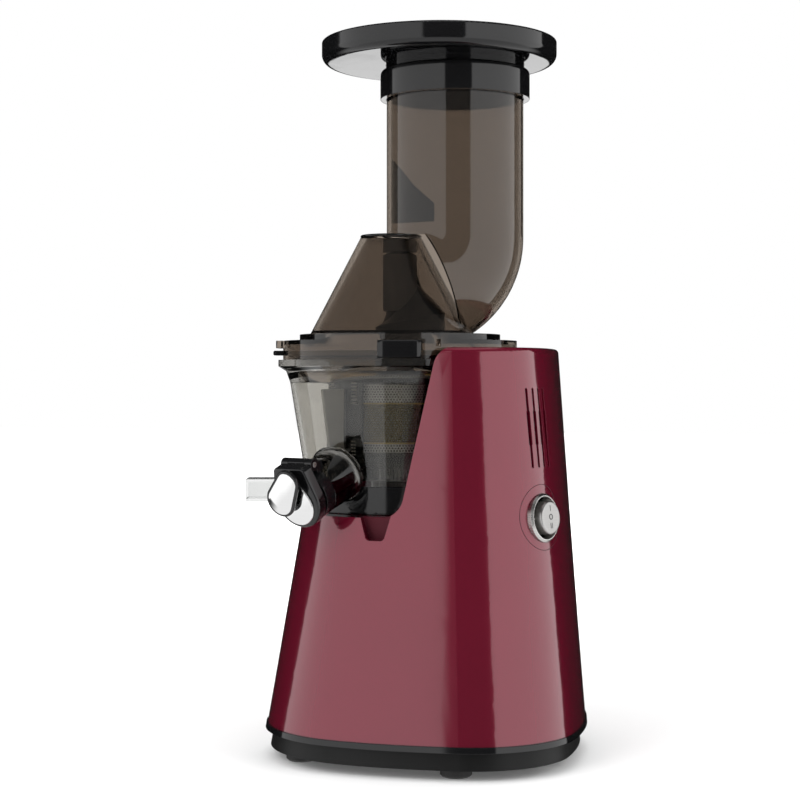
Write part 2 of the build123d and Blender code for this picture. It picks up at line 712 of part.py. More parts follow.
def output_gear():
    phase = mesh_phase(WHEEL2_TEETH, PINION2_TEETH, 0.0, GEAR_BEARING_DEG + 180)
    wheel = involute_gear(WHEEL2_TEETH, MODULE2, STAGE2_FACE, -GEAR_SHIFT, phase)
    wheel = wheel - cyl(DRIVE_R, -1, STAGE2_FACE + 1)
    for i in range(6):
        wheel = wheel - around(cyl(5.5, -1, STAGE2_FACE + 1, 20, 0), i * 60)
    return Pos(0, 0, STAGE2_Z) * wheel


def drive_shaft():
    shaft = cyl(DRIVE_R, STAGE2_Z, SEAT_Z + 8)
    shaft = shaft + cyl(DRIVE_R + 2.0, STAGE2_Z + STAGE2_FACE, COVER_Z - 0.4)
    hexagon = extrude(RegularPolygon(HEX_FLATS / 2, 6, major_radius=False), HEX_TOP_Z - SEAT_Z - 4)
    hexagon = chamfer(hexagon.edges().group_by(Axis.Z)[-1], 0.8)
    return shaft + Pos(0, 0, SEAT_Z + 4) * hexagon


def shaft_seal():
    seal = cyl(DRIVE_R + 5.0, SEAT_Z - WALL, SEAT_Z) + cyl(DRIVE_R + 3.5, SEAT_Z - 1, SEAT_Z + 1.5)
    return seal - cyl(DRIVE_R + 0.1, SEAT_Z - WALL - 1, SEAT_Z + 2)


# ---------------------------------------------------------------- electrics
def control_board():
    return block(-52, -50.4, -30, 26, FOOT_H + WALL, FOOT_H + WALL + 62)


def run_capacitor():
    return fillet(cyl(14.0, FOOT_H + WALL, FOOT_H + WALL + 52, 62, -46).edges().group_by(Axis.Z)[-1], 2)


def interlock_switch():
    return block(60, 69, 60, 69, HOUSING_TOP_Z - WALL - 12, HOUSING_TOP_Z - WALL)


def vent_baffle():
    """Dust screen on the inside of the louvred wall."""
    z0, z1 = VENT_LOW_Z - 5, VENT_HIGH_Z + 5
    shell = tower(z0, z1, WALL + SEAT_GAP) - tower(z0 - 1, z1 + 1, WALL + 1.5)
    width = (VENT_COUNT + 1) * VENT_PITCH
    sheet = shell & (vent_frame() * Box(width, VENT_HIGH_Z - VENT_LOW_Z + 8, 30))
    return sheet - recess(WALL)


# ---------------------------------------------------------------- switch
def switch_bezel(frame):
    ring = Pos(0, 0, -6) * Cylinder(BEZEL_HOLE_R, 12)
    flange = cyl(BEZEL_R, -BEZEL_SUNK, BEZEL_PROUD)
    flange = chamfer(flange.edges().group_by(Axis.Z)[-1], 1.2)
    hinge = Pos(0, 0, -1) * Rot(0, 90, 0) * Cylinder(1.2 + RUN_GAP, 2 * SWITCH_BORE_R + 2.4)
    dish = Pos(0, 0, BEZEL_PROUD - BEZEL_DISH_H / 2) * Cone(SWITCH_BORE_R, BEZEL_DISH_R, BEZEL_DISH_H)
    return frame * (ring + flange - dish - Cylinder(SWITCH_BORE_R, 60) - hinge)


def switch_body(frame):
    return frame * (Pos(0, 0, -17) * Box(21, 21, 10))


def switch_cap(frame):
    cap = cyl(SWITCH_CAP_R, -SWITCH_CAP_PROUD, SWITCH_CAP_PROUD)
    cap = fillet(cap.edges().group_by(Axis.Z)[-1], 1.2)
    trunnion = Pos(0, 0, -1) * Rot(0, 90, 0) * Cylinder(1.2, 2 * SWITCH_BORE_R + 2)
    return frame * (cap + trunnion + cyl(3, -11.6, 0))


# ---------------------------------------------------------------- bowl
def bowl_inside_r(z):
    """Inner radius of the bowl's wall at height z."""
    share = (z - FLOOR_TOP_Z) / (BOWL_HIGH_Z - FLOOR_TOP_Z)
    return BOWL_LOW_R + share * (BOWL_HIGH_R - BOWL_LOW_R) - CLEAR_WALL


def juice_frame():
    """Plane at the root of the juice nozzle, z along the nozzle."""
    out = bearing(JUICE_DEG) * cos(radians(JUICE_DROP_DEG)) - Vector(0, 0, sin(radians(JUICE_DROP_DEG)))
    root = bearing(JUICE_DEG) * (BOWL_LOW_R - 1) + Vector(0, 0, JUICE_Z)
    across = Vector(0, 0, 1).cross(out)
    return Plane(root, x_dir=across, z_dir=out)


def pulp_box(r0, r1, width, z0, z1):
    """Box along the pulp nozzle's bearing between two distances from the axis."""
    duct = block(r0, r1, -width / 2, width / 2, z0, z1)
    return around(duct, PULP_DEG - 90)


def juice_bowl():
    flare = FLANGE_Z - 3
    outer = turned(
        (0, BOWL_FLOOR_Z),
        (BOWL_LOW_R, BOWL_FLOOR_Z),
        (BOWL_HIGH_R, BOWL_HIGH_Z),
        (BOWL_HIGH_R + 2.5, flare),
        (FLANGE_R, FLANGE_Z),
        (FLANGE_R, FLANGE_Z + FLANGE_H),
        (RIM_R, FLANGE_Z + FLANGE_H),
        (RIM_R, RIM_TOP_Z),
        (0, RIM_TOP_Z),
    )
    inner = turned(
        (0, FLOOR_TOP_Z),
        (bowl_inside_r(FLOOR_TOP_Z), FLOOR_TOP_Z),
        (bowl_inside_r(BOWL_HIGH_Z), BOWL_HIGH_Z),
        (bowl_inside_r(BOWL_HIGH_Z), RIM_TOP_Z + 1),
        (0, RIM_TOP_Z + 1),
    )
    frame = juice_frame()
    nozzle = frame * Cylinder(JUICE_R, JUICE_LENGTH + 8, align=(Align.CENTER, Align.CENTER, Align.MIN))
    nozzle = Pos(frame.z_dir * -8) * nozzle
    collar = frame * Pos(0, 0, 3) * Cylinder(JUICE_R + COLLAR_EXTRA, 4)
    bowl = outer + (nozzle + collar - outer) - inner
    bore = frame * Pos(0, 0, JUICE_LENGTH / 2) * Cylinder(JUICE_BORE_R, JUICE_LENGTH + 30)
    wide = frame * Pos(0, 0, JUICE_LENGTH / 2 + 4) * Cylinder(JUICE_R - CLEAR_WALL, JUICE_LENGTH)
    bowl = bowl - (wide - outer) - bore
    bowl = bowl - cyl(HUB_HOLE_R, BOWL_FLOOR_Z - 1, FLOOR_TOP_Z + 1)
    hole = pulp_box(PULP_IN, PULP_IN + PULP_MOUTH, PULP_W - 2 * PULP_WALL, BOWL_FLOOR_Z - 1, FLOOR_TOP_Z + 1)
    return bowl - hole


def bowl_bottom():
    """Black skirt and foot plate under the bowl's floor, notched for the pulp nozzle."""
    low = SEAT_Z + SEAT_GAP
    skirt = tube(BOWL_FOOT_R, BOWL_FOOT_R - 3, low, BOWL_FLOOR_Z)
    plate = tube(BOWL_FOOT_R - 1, DRIVE_R + 6.5, low, low + 1.2)
    notch = pulp_box(0, PULP_REACH, PULP_W, low + 1.2, BOWL_FLOOR_Z + 1)
    hub = tube(HUB_HOLE_R + 3, HUB_HOLE_R, low, BOWL_FLOOR_Z)
    nozzle_root = juice_frame() * Cylinder(JUICE_R + COLLAR_EXTRA, 12)
    return (skirt + plate + hub) - (notch - cyl(HUB_HOLE_R + 3, 0, 300)) - nozzle_root


def pulp_nozzle():
    low = BOWL_FLOOR_Z - PULP_H
    spout = BOWL_LOW_R + 2.5
    outer = pulp_box(HUB_HOLE_R + 4, PULP_REACH, PULP_W, low, BOWL_FLOOR_Z)
    outer = outer + pulp_box(spout, PULP_REACH, PULP_W, low, BOWL_FLOOR_Z + PULP_RISE)
    inner = pulp_box(HUB_HOLE_R + 6, PULP_REACH + 1, PULP_W - 2 * PULP_WALL, low + PULP_WALL,
                     BOWL_FLOOR_Z - PULP_WALL)
    inner = inner + pulp_box(spout + PULP_WALL, PULP_REACH + 1, PULP_W - 2 * PULP_WALL, low + PULP_WALL,
                             BOWL_FLOOR_Z + PULP_RISE - PULP_WALL)
    mouth = pulp_box(PULP_IN, PULP_IN + PULP_MOUTH, PULP_W - 2 * PULP_WALL, low + PULP_WALL,
                     BOWL_FLOOR_Z + 1)
    return outer - inner - mouth


def bowl_gasket():
    return tube(HUB_HOLE_R, HUB_NECK_R + 0.1, BOWL_FLOOR_Z - 4, FLOOR_TOP_Z)


def idler_places():
    spots = []
    for deg in IDLER_BEARINGS:
        spots.append((IDLER_CENTRES * cos(radians(deg)), IDLER_CENTRES * sin(radians(deg))))
    return spots


def idler_pins():
    pins = []
    for x, y in idler_places():
        pins.append(cyl(IDLER_PIN_R, FLOOR_TOP_Z, STRAINER_Z, x, y))
    return pins


def idler_gear(deg):
    phase = mesh_phase(IDLER_TEETH, SUN_TEETH, 0.0, deg)
    gear = involute_gear(IDLER_TEETH, BOWL_MODULE, BOWL_GEAR_H, 0.0, phase)
    gear = gear - cyl(IDLER_PIN_R + RUN_GAP, -1, BOWL_GEAR_H + 1)
    x, y = IDLER_CENTRES * cos(radians(deg)), IDLER_CENTRES * sin(radians(deg))
    return Pos(x, y, BOWL_GEAR_Z) * gear


# ---------------------------------------------------------------- strainer, brush and auger
def strainer_frame():
    inner_r = STRAINER_R - STRAINER_WALL
    floor_top = STRAINER_Z + STRAINER_FLOOR_H
    frame = tube(STRAINER_R, HUB_R + SOFT_GAP, STRAINER_Z, floor_top)
    frame = frame + tube(STRAINER_R, inner_r, STRAINER_Z, floor_top + 8)
    frame = frame + tube(STRAINER_R, inner_r, 213, 217)
    frame = frame + tube(STRAINER_R, inner_r, STRAINER_TOP_Z - 6, STRAINER_TOP_Z)
    frame = frame + tube(STRAINER_R + 2.5, inner_r, STRAINER_TOP_Z - 2.5, STRAINER_TOP_Z)
    for i in range(STRAINER_RIBS):
        rib = block(inner_r + 0.8, STRAINER_R - 0.1, -1.2, 1.2, floor_top, STRAINER_TOP_Z - 1)
        frame = frame + around(rib, (i + 0.5) * 360 / STRAINER_RIBS)
    r0, r1 = PULP_IN - 0.2, PULP_IN + PULP_MOUTH + 0.2
    chute = pulp_box(r0, r1, 17.0, FLOOR_TOP_Z, floor_top)
    frame = frame + chute
    frame = frame - pulp_box(r0 + 1.6, r1 - 1.6, 13.8, FLOOR_TOP_Z - 1, floor_top + 1)
    return frame - strainer_mesh()


def strainer_mesh():
    inner_r = STRAINER_R - STRAINER_WALL
    return tube(inner_r + 0.8, inner_r + 0.8 - MESH_WALL, STRAINER_Z + STRAINER_FLOOR_H + 8,
                STRAINER_TOP_Z - 6)


def brush_holder():
    inner_r = BRUSH_R - BRUSH_WALL
    shoulder = BOWL_GEAR_Z + BOWL_GEAR_H
    ring = cyl(RING_R, BOWL_GEAR_Z, shoulder)
    teeth = involute_gear(RING_TEETH, BOWL_MODULE, BOWL_GEAR_H + 2, 0.0, ring_phase(), internal=True)
    ring = ring - Pos(0, 0, BOWL_GEAR_Z - 1) * teeth
    holder = ring + tube(BRUSH_R, inner_r, BOWL_GEAR_Z, BRUSH_TOP_Z)
    for i in range(BRUSH_ARMS):
        window = extrude(sector(BRUSH_R + 5, 360 / BRUSH_ARMS - BRUSH_ARM_DEG), BRUSH_TOP_Z - shoulder - 17)
        window = Pos(0, 0, shoulder + 10) * window
        holder = holder - around(window, (i + 0.5) * 360 / BRUSH_ARMS)
    for i in range(BRUSH_ARMS):
        slot = block(inner_r - 1, BRUSH_R + 1, -WIPER_T / 2, WIPER_T / 2, shoulder + 12, BRUSH_TOP_Z - 10)
        holder = holder - around(slot, i * 360 / BRUSH_ARMS)
    return holder


def sector(r, deg):
    """Pie slice centred on +X."""
    half = radians(deg / 2)
    tip = r / cos(half)
    return make_face(Polyline((0, 0), (tip * cos(half), -tip * sin(half)),
                              (tip * cos(half), tip * sin(half)), close=True))


def ring_phase():
    """Phase of the ring's tooth gaps so that each idler sits in one."""
    deg = IDLER_BEARINGS[0]
    idler = mesh_phase(IDLER_TEETH, SUN_TEETH, 0.0, deg)
    return deg + (idler - deg) * IDLER_TEETH / RING_TEETH


def brush_wipers():
    """Silicone blades through the arms: they sweep the bowl's wall and the strainer."""
    z0 = BOWL_GEAR_Z + BOWL_GEAR_H + 12
    z1 = BRUSH_TOP_Z - 10
    blades = []
    for i in range(BRUSH_ARMS):
        profile = Plane.XZ * make_face(
            Polyline(
                (STRAINER_R + SOFT_GAP, z0),
                (bowl_inside_r(z0) - SOFT_GAP, z0),
                (bowl_inside_r(z1) - SOFT_GAP, z1),
                (STRAINER_R + SOFT_GAP, z1),
                close=True,
            )
        )
        blade = Pos(0, WIPER_T / 2, 0) * extrude(profile, WIPER_T)
        blades.append(around(blade, i * 360 / BRUSH_ARMS))
    return blades


def auger_envelope():
    """Outer shape that the flights stay inside."""
    return turned(
        (0, AUGER_Z),
        (AUGER_R, AUGER_Z),
        (AUGER_R, STRAINER_TOP_Z),
        (AUGER_R - 5, AUGER_BODY_TOP_Z + 4),
        (AUGER_NECK_R + 4, AUGER_TIP_Z - 22),
        (AUGER_NECK_R, AUGER_TIP_Z - 12),
        (AUGER_NECK_R, AUGER_TIP_Z),
        (0, AUGER_TIP_Z),
    )


def auger():
    """Screw with two helical flights on a tapering core."""
    height = AUGER_TIP_Z - 18 - AUGER_Z
    section = Circle(AUGER_NECK_R)
    for side in (0, 180):
        section = section + Rot(0, 0, side) * sector(AUGER_R + 2, AUGER_FLIGHT_DEG)
    twist = AUGER_TURNS_DEG * height / (AUGER_BODY_TOP_Z - AUGER_Z)
    flights = Solid.extrude_linear_with_rotation(section.faces()[0], (0, 0, 0), (0, 0, height), -twist)
    core = turned(
        (0, AUGER_Z),
        (AUGER_CORE_R, AUGER_Z),
        (AUGER_CORE_TOP_R, AUGER_BODY_TOP_Z),
        (AUGER_NECK_R, AUGER_BODY_TOP_Z + 12),
        (AUGER_NECK_R, AUGER_TIP_Z),
        (0, AUGER_TIP_Z),
    )
    screw = core + (Pos(0, 0, AUGER_Z) * flights & auger_envelope())
    screw = screw - cyl(HUB_R - 2, AUGER_Z - 1, HEX_TOP_Z + 3)
    return screw - cyl(TIP_PIN_R, AUGER_TIP_Z - 14, AUGER_TIP_Z + 1)


def auger_hub():
    """Drive hub: hexagon bore, sealing neck and the gear that drives the idlers."""
    hub = cyl(HUB_NECK_R, BOWL_FLOOR_Z - 6, BOWL_GEAR_Z)
    sun = involute_gear(SUN_TEETH, BOWL_MODULE, BOWL_GEAR_H, 0.0, 0.0)
    hub = hub + Pos(0, 0, BOWL_GEAR_Z) * sun
    hub = hub + cyl(HUB_R, BOWL_GEAR_Z + BOWL_GEAR_H, AUGER_Z)
    hub = hub + cyl(HUB_R - 2, AUGER_Z, HEX_TOP_Z + 3)
    bore = RegularPolygon(HEX_FLATS / 2 + 0.12, 6, major_radius=False)
    return hub - Pos(0, 0, BOWL_FLOOR_Z - 7) * extrude(bore, HEX_TOP_Z + 1 - BOWL_FLOOR_Z + 7)


def auger_tip():
    tip = cyl(TIP_PIN_R, AUGER_TIP_Z - 14, AUGER_TIP_Z + 5)
    return chamfer(tip.edges().group_by(Axis.Z)[-1], 1.0)


# ---------------------------------------------------------------- juice cap
def cap_frame():
    """Plane at the nozzle's end: x across to the right, y up along the cap's face, z outwards."""
    frame = juice_frame()
    end = frame.origin + frame.z_dir * (JUICE_LENGTH + SEAT_GAP)
    return Plane(end, x_dir=frame.x_dir, z_dir=frame.z_dir)


def teardrop(width, long):
    """Round below, tapering to a smaller round top, centred on the round part."""
    r = width / 2
    tip_r = r * 0.5
    top = long - r - tip_r
    lean = asin((r - tip_r) / top)
    c, s = cos(lean), sin(lean)
    right = Line((r * c, r * s), (tip_r * c, top + tip_r * s))
    left = Line((-tip_r * c, top + tip_r * s), (-r * c, r * s))
    crown = ThreePointArc(right @ 1, (0, top + tip_r), left @ 0)
    belly = ThreePointArc(left @ 1, (0, -r), right @ 0)
    return make_face([*right.edges(), *crown.edges(), *left.edges(), *belly.edges()])


def cap_outline():
    """Round below and squared towards the hinge."""
    shoulders = Pos(0, CAP_UP - 4) * RectangleRounded(CAP_W * 0.74, 8, 3.4)
    return make_hull((Circle(CAP_W / 2) + shoulders).edges())


def cap_lever(frame):
    plate = extrude(cap_outline(), CAP_T)
    plate = fillet(plate.edges().group_by(Axis.Z)[-1], 1.5)
    dish = Pos(0, -1, CAP_T - 2.0) * extrude(teardrop(FACE_W + 0.6, FACE_LONG + 0.6), 5)
    knuckle_y = CAP_HINGE_UP
    knuckle = Pos(0, knuckle_y, -CAP_HINGE_BACK) * Rot(0, 90, 0) * Cylinder(3.6, CAP_W * 0.36)
    arm = Pos(0, knuckle_y - 0.5, -0.5) * Box(CAP_W * 0.36, 5.0, 5.0)
    cap = plate - dish + knuckle + arm
    cap = cap - Pos(0, knuckle_y, -CAP_HINGE_BACK) * Rot(0, 90, 0) * Cylinder(CAP_PIN_R + RUN_GAP, 60)
    return frame * cap


def cap_face(frame):
    face = Pos(0, -1, CAP_T - 2.0) * extrude(teardrop(FACE_W, FACE_LONG), 1.2)
    return frame * face


def cap_thumb_plate(frame):
    plate = Pos(-1.5, 3.5, CAP_T + LEVER_OFF) * extrude(teardrop(LEVER_W, LEVER_LONG), LEVER_T)
    plate = fillet(plate.edges().group_by(Axis.Z)[-1], 0.8)
    stem_z = CAP_T - 0.8
    stem = Pos(-1.5, 11.0, 0) * block(-2.5, 2.5, -3, 3, stem_z, CAP_T + LEVER_OFF + 1)
    return frame * (plate + stem)


def cap_seal(frame):
    wide = JUICE_R - CLEAR_WALL - SOFT_GAP
    return frame * Pos(0, 0, -1) * Cone(wide - 1.1, wide, 2)


def cap_bracket(frame):
    """Hinge bracket clipped round the nozzle's end, with two ears for the pin."""
    back = Pos(0, 0, -6 - SEAT_GAP)
    ring = back * (Cylinder(JUICE_R + 2.2, 8) - Cylinder(JUICE_R, 20))
    ears = Pos(0, CAP_HINGE_UP, -CAP_HINGE_BACK) * Rot(0, 90, 0) * Cylinder(3.6, CAP_W * 0.70)
    post = Pos(0, CAP_HINGE_UP - 2.5, -8.0) * Box(CAP_W * 0.70, 6.0, 6.0)
    gap = Pos(0, CAP_HINGE_UP, -CAP_HINGE_BACK) * Box(CAP_W * 0.36 + 2 * SOFT_GAP, 12, 9.5)
    bracket = ring + ((ears + post) - gap) - Cylinder(JUICE_R, 60)
    bracket = bracket - Pos(0, CAP_HINGE_UP, -CAP_HINGE_BACK) * Rot(0, 90, 0) * Cylinder(CAP_PIN_R, 60)
    return frame * bracket


def cap_pin(frame):
    return frame * (Pos(0, CAP_HINGE_UP, -CAP_HINGE_BACK) * Rot(0, 90, 0) * Cylinder(CAP_PIN_R, CAP_W * 0.70))


# ---------------------------------------------------------------- lid and hopper
def elbow(r, pivot_r):
    """Quarter bend from the tube towards the bowl; the part of the tube beyond the pivot is cut off."""
    toward = Vector(-TUBE_X, -TUBE_Y, 0).normalized()
    pivot = Vector(TUBE_X, TUBE_Y, HUMP_TOP_Z) + toward * pivot_r
    across = Vector(0, 0, 1).cross(toward)
    disc = Pos(TUBE_X, TUBE_Y, HUMP_TOP_Z) * Circle(r)
    keep = Plane(pivot, x_dir=toward, z_dir=(0, 0, 1)) * Pos(-100, 0) * Rectangle(199.8, 300)
    section = disc & keep
    return revolve(section, Axis(pivot, across), -68)


def hump(thin):
    """Cone over the auger's upper end, or with thin > 0 its hollow."""
    low = Pos(HUMP_X, HUMP_Y, LID_TOP_Z - 4) * Circle(HUMP_R - thin)
    high = Pos(HUMP_X, HUMP_Y, HUMP_TOP_Z - thin) * Circle(HUMP_TOP_R - thin)
    return loft([low, high], ruled=True)


def lid_shape(thin):
    """Outer form of the lid, or with thin > 0 its hollow."""
    foot_z = LID_SKIRT_Z if thin == 0 else LID_SKIRT_Z - 1
    skirt = cyl(LID_R - thin, foot_z, LID_TOP_Z - thin)
    top = TUBE_TOP_Z if thin == 0 else TUBE_TOP_Z + 1
    straight = cyl(TUBE_R - thin, HUMP_TOP_Z, top, TUBE_X, TUBE_Y)
    bend = elbow(TUBE_R - thin, ELBOW_OFFSET)
    bend = bend & cyl(LID_R + 20, LID_TOP_Z - 3, HUMP_TOP_Z + 1)
    return skirt + hump(thin) + straight + bend


def hump_divider():
    """The hump's wall where the elbow meets it, with the window that the food falls through."""
    middle = (WINDOW_FROM_DEG + WINDOW_TO_DEG) / 2
    wedge = around(sector(HUMP_R + 20, WINDOW_TO_DEG - WINDOW_FROM_DEG), middle)
    window = Pos(HUMP_X, HUMP_Y, WINDOW_LOW_Z) * extrude(wedge, WINDOW_HIGH_Z - WINDOW_LOW_Z)
    return hump(0) - hump(CLEAR_WALL) - cyl(HUMP_R + 5, LID_TOP_Z - 5, LID_TOP_Z - 1) - window


def bowl_lid():
    lid = lid_shape(0) + cyl(LID_RING_R, LID_TOP_Z - 1, LID_TOP_Z + LID_RING_H)
    lid = lid - lid_shape(CLEAR_WALL) + hump_divider()
    for deg in LUG_BEARINGS:
        wedge = Pos(0, 0, LUG_Z - 10) * extrude(sector(LUG_R + 5, LUG_DEG), 40)
        lug = tube(LUG_R, LID_R - 1, LUG_Z, LUG_Z + LUG_H) & around(wedge, deg - 90)
        lid = lid + lug
    return lid


def lid_bush():
    """Bush for the auger's tip, under the hump's plateau."""
    z0, z1 = AUGER_TIP_Z + 0.4, HUMP_TOP_Z - CLEAR_WALL
    return tube(TIP_PIN_R + 2.5, TIP_PIN_R + RUN_GAP, z0, z1)


def lid_gasket():
    return tube(LID_R - CLEAR_WALL - RUN_GAP, RIM_R + SOFT_GAP, LID_SKIRT_Z + 2, LID_SKIRT_Z + 5)


def feed_guide():
    """Curved fin on the inner wall of the feed tube, on the side of the hump."""
    toward = degrees(atan2(-TUBE_Y, -TUBE_X))
    wall_r = TUBE_R - CLEAR_WALL
    span = TUBE_TOP_Z - HUMP_TOP_Z
    fin = Plane.XZ * make_face(
        Polyline(
            (wall_r - 0.2, HUMP_TOP_Z + 0.08 * span),
            (wall_r - 0.2, HUMP_TOP_Z + 0.47 * span),
            (wall_r - 14, HUMP_TOP_Z + 0.31 * span),
            (wall_r - 27, HUMP_TOP_Z + 0.21 * span),
            (wall_r - 27, HUMP_TOP_Z + 0.10 * span),
            close=True,
        )
    )
    fin = Pos(0, 1.2, 0) * extrude(fin, 2.4)
    return Pos(TUBE_X, TUBE_Y, 0) * Rot(0, 0, toward) * fin


def hopper_tray():
    """Flat dished tray with a double-walled collar that plugs over the feed tube."""
    tx, ty = TUBE_X, TUBE_Y
    hx, hy = TUBE_X + HOPPER_X, TUBE_Y + HOPPER_Y
    dish = cyl(HOPPER_R, HOPPER_PLATE_Z, HOPPER_TOP_Z, hx, hy)
    dish = fillet(dish.edges().group_by(Axis.Z)[0], HOPPER_EDGE_R)
    dish = fillet(dish.edges().group_by(Axis.Z)[-1], 1.2)
    hollow = cyl(HOPPER_R - HOPPER_WALL, HOPPER_PLATE_Z + HOPPER_WALL, HOPPER_TOP_Z + 1, hx, hy)
    hollow = fillet(hollow.edges().group_by(Axis.Z)[0], HOPPER_EDGE_R - HOPPER_WALL)
    collar = cyl(COLLAR_R, COLLAR_Z, COLLAR_TOP_Z, tx, ty)
    collar = fillet(collar.edges().group_by(Axis.Z)[-1], COLLAR_EDGE_R)
    neck = cyl(NECK_R, COLLAR_Z + 5, HOPPER_PLATE_Z + 1, tx, ty)
    sleeve_r = TUBE_R - CLEAR_WALL - SOFT_GAP
    bore = cyl(sleeve_r - SLEEVE_WALL, COLLAR_Z - 1, HOPPER_TOP_Z, tx, ty)
    groove = tube(TUBE_R + SOFT_GAP, sleeve_r, COLLAR_Z - 1, COLLAR_LAND_Z, tx, ty)
    below = cyl(TUBE_R, COLLAR_Z - 1, SLEEVE_Z, tx, ty)
    return (dish - hollow) + collar + neck - bore - groove - below


# ---------------------------------------------------------------- build
def solids_of(shape):
    """One shape, or a list of separate solids as a compound."""
    return Compound(list(shape)) if isinstance(shape, (list, tuple)) else shape


def main():
    switch_at, switch_out = surface_point(SWITCH_DEG, SWITCH_Z)
    switch_frame = Plane(switch_at, x_dir=Vector(0, 0, 1).cross(switch_out), z_dir=switch_out)
    bowl_cap = cap_frame()
    nodes = {
        "body_housing": body_housing(switch_frame),
        "base_tray": base_tray(),
        "trim_band": trim_band(),
        "rubber_feet": rubber_feet(),
        "base_screws": base_screws(),
        "cord_gland": cord_gland(),
        "motor_stator": motor_stator(),
        "motor_windings": motor_windings(),
        "motor_lower_bracket": motor_lower_bracket(),
        "motor_upper_bracket": end_bracket(UPPER_BRACKET_Z, False),
        "motor_bolts": motor_bolts(),
        "motor_mounts": motor_mounts(),
        "motor_bearings": [
            ball_bearing(MOTOR_Z + 2, SHAFT_R, BEARING_R, BEARING_H),
            ball_bearing(UPPER_BRACKET_Z + 2, SHAFT_R, BEARING_R, BEARING_H),
        ],
        "motor_rotor": motor_rotor(),
        "motor_shaft": motor_shaft(),
        "cooling_fan": cooling_fan(),
        "gearbox_case": gearbox_case(),
        "gearbox_cover": gearbox_cover(),
        "gearbox_screws": gearbox_screws(),
        "gearbox_bushes": gearbox_bushes(),
        "reduction_gear": reduction_gear(),
        "output_gear": output_gear(),
        "drive_shaft": drive_shaft(),
        "shaft_seal": shaft_seal(),
        "control_board": control_board(),
        "run_capacitor": run_capacitor(),
        "interlock_switch": interlock_switch(),
        "vent_baffle": vent_baffle(),
        "switch_bezel": switch_bezel(switch_frame),
        "switch_body": switch_body(switch_frame),
        "switch_cap": switch_cap(switch_frame),
        "juice_bowl": juice_bowl(),
        "bowl_bottom": bowl_bottom(),
        "pulp_nozzle": pulp_nozzle(),
        "bowl_gasket": bowl_gasket(),
        "idler_pins": idler_pins(),
        "idler_gear_1": idler_gear(IDLER_BEARINGS[0]),
        "idler_gear_2": idler_gear(IDLER_BEARINGS[1]),
        "strainer_frame": strainer_frame(),
        "strainer_mesh": strainer_mesh(),
        "brush_holder": brush_holder(),
        "brush_wipers": brush_wipers(),
        "auger": auger(),
        "auger_hub": auger_hub(),
        "auger_tip": auger_tip(),
        "cap_bracket": cap_bracket(bowl_cap),
        "cap_pin": cap_pin(bowl_cap),
        "cap_lever": cap_lever(bowl_cap),
        "cap_face": cap_face(bowl_cap),
        "cap_thumb_plate": cap_thumb_plate(bowl_cap),
        "cap_seal": cap_seal(bowl_cap),
        "bowl_lid": bowl_lid(),
        "lid_bush": lid_bush(),
        "lid_gasket": lid_gasket(),
        "feed_guide": feed_guide(),
        "hopper_tray": hopper_tray(),
    }
    os.makedirs("parts", exist_ok=True)
    for name, shape in nodes.items():
        placed = Pos(-ORIGIN_X, -ORIGIN_Y, 0) * solids_of(shape)
        export_step(placed, f"parts/{name}.step")


main()
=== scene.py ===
"""Cold press juicer: finishes, fine details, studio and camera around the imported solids."""

import json
from math import cos, pi, radians, sin

import bmesh
import bpy
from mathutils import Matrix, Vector
from mathutils.bvhtree import BVHTree


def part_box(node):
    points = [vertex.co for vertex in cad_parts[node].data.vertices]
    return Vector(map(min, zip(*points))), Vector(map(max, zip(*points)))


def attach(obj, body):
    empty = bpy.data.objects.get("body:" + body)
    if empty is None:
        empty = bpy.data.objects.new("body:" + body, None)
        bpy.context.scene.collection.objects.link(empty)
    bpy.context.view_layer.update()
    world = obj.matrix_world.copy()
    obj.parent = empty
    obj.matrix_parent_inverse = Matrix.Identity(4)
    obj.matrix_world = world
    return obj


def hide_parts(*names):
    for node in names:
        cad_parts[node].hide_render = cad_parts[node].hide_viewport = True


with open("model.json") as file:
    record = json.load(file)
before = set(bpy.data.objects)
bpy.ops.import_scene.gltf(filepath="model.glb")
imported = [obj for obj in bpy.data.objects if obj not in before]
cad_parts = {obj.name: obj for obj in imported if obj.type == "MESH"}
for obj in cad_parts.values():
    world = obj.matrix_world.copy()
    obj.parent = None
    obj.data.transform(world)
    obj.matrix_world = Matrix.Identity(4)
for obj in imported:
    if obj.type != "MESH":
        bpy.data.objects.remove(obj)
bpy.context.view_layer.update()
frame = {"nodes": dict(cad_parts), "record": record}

# ---------------------------------------------------------------- places shared with the source
# Lengths are in millimetres, heights are above the floor, and bearings are in degrees from the front,
# positive to the right. What is multiplied by MM is in metres, and so are the camera's places.
MM = 0.001
DRIVE_X, DRIVE_Y = -10.86 * MM, -3.1 * MM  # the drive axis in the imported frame
SWITCH_TURN, SWITCH_LEAN = 67.0, 5.8       # bearing of the switch, and the wall's lean there
ARM_TURNS = (-30.0, 90.0, 210.0)           # the brush's arms at rest
ARM_EDGES = (-11.5, 11.5)                  # an arm's two edges from its middle, degrees
JUICE_TURN, JUICE_DROP = -22.0, 22.0       # bearing and fall of the juice nozzle
JUICE_ROOT_R, JUICE_ROOT_Z = 58.4, 177.5   # where the nozzle's axis leaves the bowl
NOZZLE_LENGTH, CAP_GAP = 39.0, 0.3
CLEAR_WALL = 2.0                           # the lid's wall
HUMP_X, HUMP_Y = -5.0, -3.0                # the hump's axis from the drive axis
HUMP_TOP_Z, HUMP_TOP_R = 323.0, 19.0
HUMP_RISE, HUMP_FLARE = 70.1, 36.5         # height of the hump's cone, and the radius gained down it
POCKET_LOW = (DRIVE_X - 4.0 * MM, -80.8 * MM, 134.0 * MM)     # the scoop under the bowl's front, where the lacquer gets painted shade
POCKET_HIGH = (DRIVE_X + 16.3 * MM, -70.0 * MM, 151.5 * MM)

